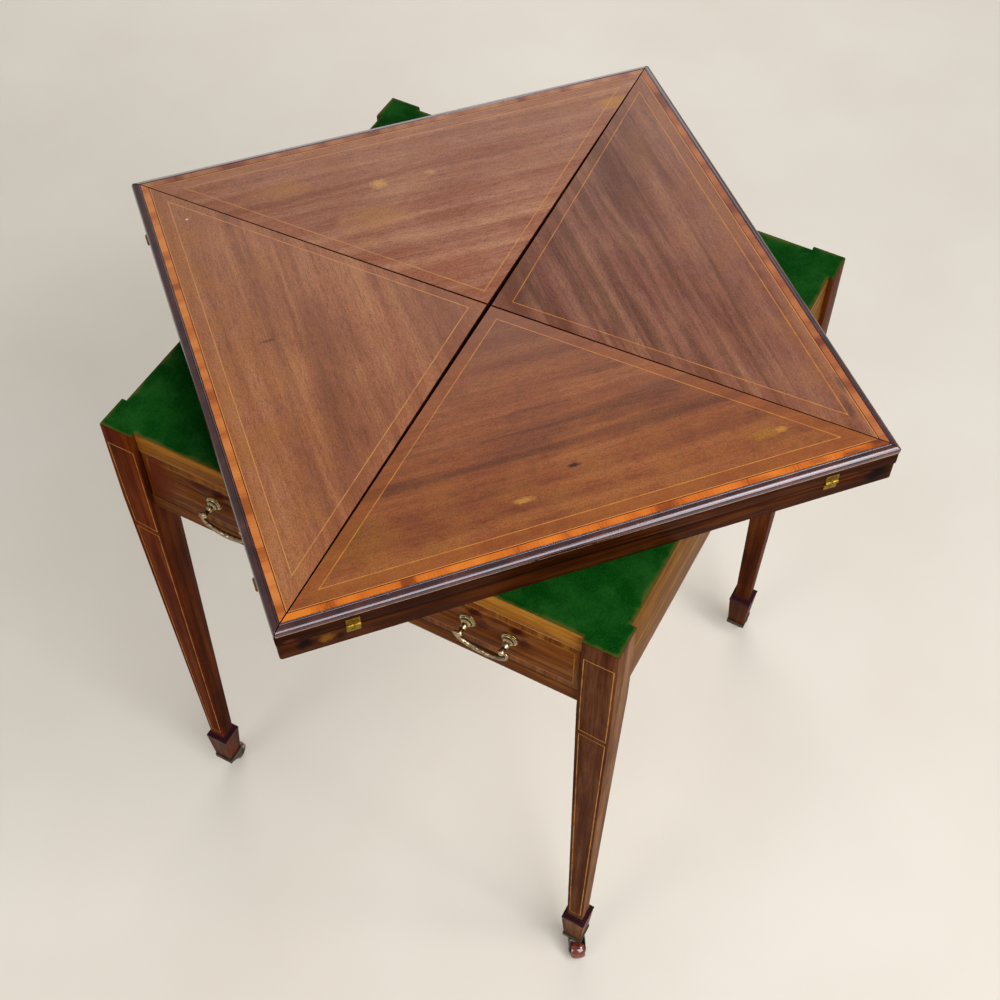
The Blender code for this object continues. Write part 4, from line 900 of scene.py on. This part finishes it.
def make_bail(side, middle):
    """A cast bail: slim arms with a knob at each elbow, and a thicker grip with a twisted leaf pattern."""
    arm, pin, bend, drop = 0.0256, 0.0218, 0.0017, 0.0215

    def path(s):
        if s < 0.08 or s > 0.92:
            t = (s if s < 0.5 else 1 - s) / 0.08
            sign = -1 if s < 0.5 else 1
            angle = math.radians(90 * t)
            x = pin + (arm - pin) * math.sin(angle)
            return Vector((sign * x, 0, -bend * (1 - math.cos(angle))))
        angle = math.pi * (s - 0.08) / 0.84
        return Vector((-arm * math.cos(angle), 0, -bend - (drop - bend) * math.sin(angle) ** 0.8))

    def place(s, turn):
        here = path(s)
        ahead = path(min(1, s + 0.004)) - path(max(0, s - 0.004))
        ahead.normalize()
        up = Vector((0, 1, 0))
        across = ahead.cross(up).normalized()
        share = min(1.0, max(0.0, -here.z / drop))
        radius = 0.0014 + 0.0012 * share ** 1.5
        grip = max(0.0, 1 - abs(s - 0.5) / 0.30)
        if grip > 0:
            radius *= 1 + 0.08 * min(1, 4 * grip) * math.sin(5 * turn + 90 * s)
            radius += 0.00025 * max(0, 1 - abs(s - 0.5) / 0.012)
        for knob in (0.085, 0.915):
            radius += 0.0007 * max(0, 1 - abs(s - knob) / 0.02)
        return here + across * radius * math.cos(turn) + up * radius * math.sin(turn)

    bail = rolled("bail_%s_cast" % side, 110, 20, place)
    lean = Matrix.Rotation(math.radians(LEAN[side]), 4, "X")
    return set_down(bail, Matrix.Translation((middle, -FRIEZE_FACE - HANDLE_STAND, HANDLE_Z)) @ lean)


# Castors

def make_castors():
    half, radius, hub = 0.0080, 0.0115, 0.0046
    tread = [(radius - 0.0014 * ((abs(z) - 0.2) / 0.8) ** 2 if abs(z) > 0.2 else radius, z * 0.0072)
             for z in (1, 0.85, 0.7, 0.5, 0.3, 0, -0.3, -0.5, -0.7, -0.85, -1)]
    profile = [(0.0020, half), (hub, half), (hub + 0.0008, half - 0.0008), (0.0085, half - 0.0008),
               (0.0092, half - 0.0001), (0.0098, half - 0.0002)] + tread
    profile += [(0.0098, 0.0002 - half), (0.0092, 0.0001 - half), (0.0085, 0.0008 - half),
                (hub + 0.0008, 0.0008 - half), (hub, -half), (0.0020, -half)]
    for name in CORNERS:
        joint = JOINTS["wheel_%s_spin" % name]
        wheel = spun("castor_wheel_%s_glazed" % name, profile, joint["pos_m"], joint["axis"], 48)
        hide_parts("castor_wheel_" + name)
        show(wheel, "wheel_" + name, CERAMIC)
        show(eased("castor_horn_" + name, 0.0003), "castor_" + name, CASTOR_METAL)
        show(eased("castor_plate_" + name, 0.0004), "base", CASTOR_METAL)


# Baize

def cloth_grid(name, columns, rows, keep):
    """A grid laid along the given columns and rows, without the cells that keep() leaves out."""
    bpy.ops.object.select_all(action="DESELECT")
    bpy.ops.mesh.primitive_grid_add(x_subdivisions=len(columns) - 1, y_subdivisions=len(rows) - 1, size=2)
    piece = bpy.context.object
    piece.name = name
    for corner in piece.data.vertices:
        i = round((corner.co.x + 1) / 2 * (len(columns) - 1))
        j = round((corner.co.y + 1) / 2 * (len(rows) - 1))
        corner.co = (columns[i], rows[j], 0)
    edit(piece)
    choose(piece, "faces", lambda face: not keep(face.calc_center_median()))
    bpy.ops.mesh.delete(type="FACE")
    bpy.ops.object.mode_set(mode="OBJECT")
    return piece


def stations(*marks, step=0.005):
    """Even steps between fixed places."""
    made = []
    for low, high in zip(marks, marks[1:]):
        count = max(1, round((high - low) / step))
        made += [low + (high - low) * i / count for i in range(count)]
    return made + [marks[-1]]


def thick_cloth(piece, level, up):
    """Give the cloth its thickness and a nap that is a little uneven."""
    edit(piece)
    done(piece)
    piece.data.transform(Matrix.Translation((0, 0, level)))
    modified(piece, "SOLIDIFY", thickness=CLOTH_THICK, offset=-1 if up else 1)
    texture = bpy.data.textures.new(piece.name + "_nap", "CLOUDS")
    texture.noise_scale = 0.012
    modified(piece, "DISPLACE", texture=texture, texture_coords="LOCAL", strength=0.00012, mid_level=1.0,
             direction="NORMAL")
    smoothed(piece, 50)


def make_baize():
    out, rail, inner, hole = CLOTH_OUT, CLOTH_RAIL, CLOTH_LEG, 0.0066
    lines = stations(-out, -rail, -inner, -hole, hole, inner, rail, out)

    def kept(p):
        """Not past a rail between two legs, and not over the pivot bolt's hole."""
        across, along = sorted((abs(p.x), abs(p.y)))
        return not (along > rail and across < inner) and along >= hole

    base = cloth_grid("base_baize_cloth", lines, lines, kept)
    thick_cloth(base, BASE_TOP, True)
    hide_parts("base_baize")
    show(base, "base", BASE_CLOTH)

    rim = AXIS - BED_INSET - 0.0045
    lines = stations(-rim, 0, rim, step=0.006)
    bed = cloth_grid("bed_baize_cloth", lines, lines, lambda p: True)
    set_down(bed, Matrix.Rotation(math.radians(TURN), 4, "Z"))
    thick_cloth(bed, SEAM - FIT / 2, True)
    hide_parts("bed_baize")
    show(bed, "top", CLOTH)

    tip = 0.022 * math.sqrt(2)
    far = AXIS - 0.0025
    for index, name in enumerate(LEAVES):
        cloth = cloth_grid("leaf_%s_baize_cloth" % name, stations(-1, 0, 1, step=0.03),
                           stations(-far, -tip, step=0.008), lambda p: True)
        for corner in cloth.data.vertices:
            corner.co.x *= -corner.co.y - tip
        edit(cloth)
        done(cloth)
        set_down(cloth, top_frame(index))
        thick_cloth(cloth, SEAM + FIT / 2, False)
        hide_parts("leaf_%s_baize" % name)
        show(cloth, "leaf_" + name, CLOTH)


make_legs()
make_frieze()
make_drawer_front()
make_leaves()
make_mouldings()
make_bed()
make_hinges()
make_handles()
make_castors()
make_baize()


# Studio

def make_studio():
    """A plain pale floor in a white room, a broad and a small lamp to the right, weaker ones behind and before."""
    bpy.ops.object.select_all(action="DESELECT")
    bpy.ops.mesh.primitive_plane_add(size=14)
    floor = bpy.context.object
    floor.name = "studio_floor"
    made, tree, place = finish("studio_floor_paint")
    colour = cloudy(tree, place, 3.0, [(0.3, "#D6CEC2"), (0.7, "#DCD5CA")], 3.0)
    surface(made, colour, Roughness=0.7, Specular_IOR_Level=0.2)
    floor.data.materials.append(made)

    world = bpy.data.worlds.new("studio")
    world.use_nodes = True
    bpy.context.scene.world = world
    world.node_tree.nodes["Background"].inputs["Strength"].default_value = 0.40
    world.node_tree.nodes["Background"].inputs["Color"].default_value = (1, 1, 1, 1)

    for name, place, size, power in (
            ("window", (2.7, -1.4, 2.5), 2.3, 104.0), ("wall", (-1.4, 2.6, 2.0), 2.8, 42.0),
            ("front", (-0.8, -2.7, 1.9), 1.1, 16.0), ("skylight", (1.72, 0.0, 2.65), 0.9, 24.0)):
        lamp = bpy.data.lights.new(name, "AREA")
        lamp.size = size
        lamp.energy = power
        lamp.color = (0.94, 0.97, 1.0) if name == "window" else (1.0, 0.98, 0.95)
        thing = bpy.data.objects.new(name, lamp)
        bpy.context.scene.collection.objects.link(thing)
        thing.location = place
        aim = Vector((0, 0, 0.5)) - Vector(place)
        thing.rotation_euler = aim.to_track_quat("-Z", "Y").to_euler()

    camera = bpy.data.cameras.new("camera")
    camera.lens = 54.18
    camera.sensor_width = 36
    camera.clip_start = 0.05
    eye = bpy.data.objects.new("camera", camera)
    bpy.context.scene.collection.objects.link(eye)
    right = Vector((0.8815255, 0.4721333, 0.0016918))
    down = Vector((0.3797927, -0.7069775, -0.5966074))
    ahead = Vector((-0.2804822, 0.5265672, -0.8025315))
    eye.matrix_world = Matrix.LocRotScale(
        Vector((0.46957, -0.85910, 1.7482)), Matrix((right, -down, -ahead)).transposed(), None)
    bpy.context.scene.camera = eye
    bpy.context.scene.view_settings.view_transform = "Standard"


make_studio()
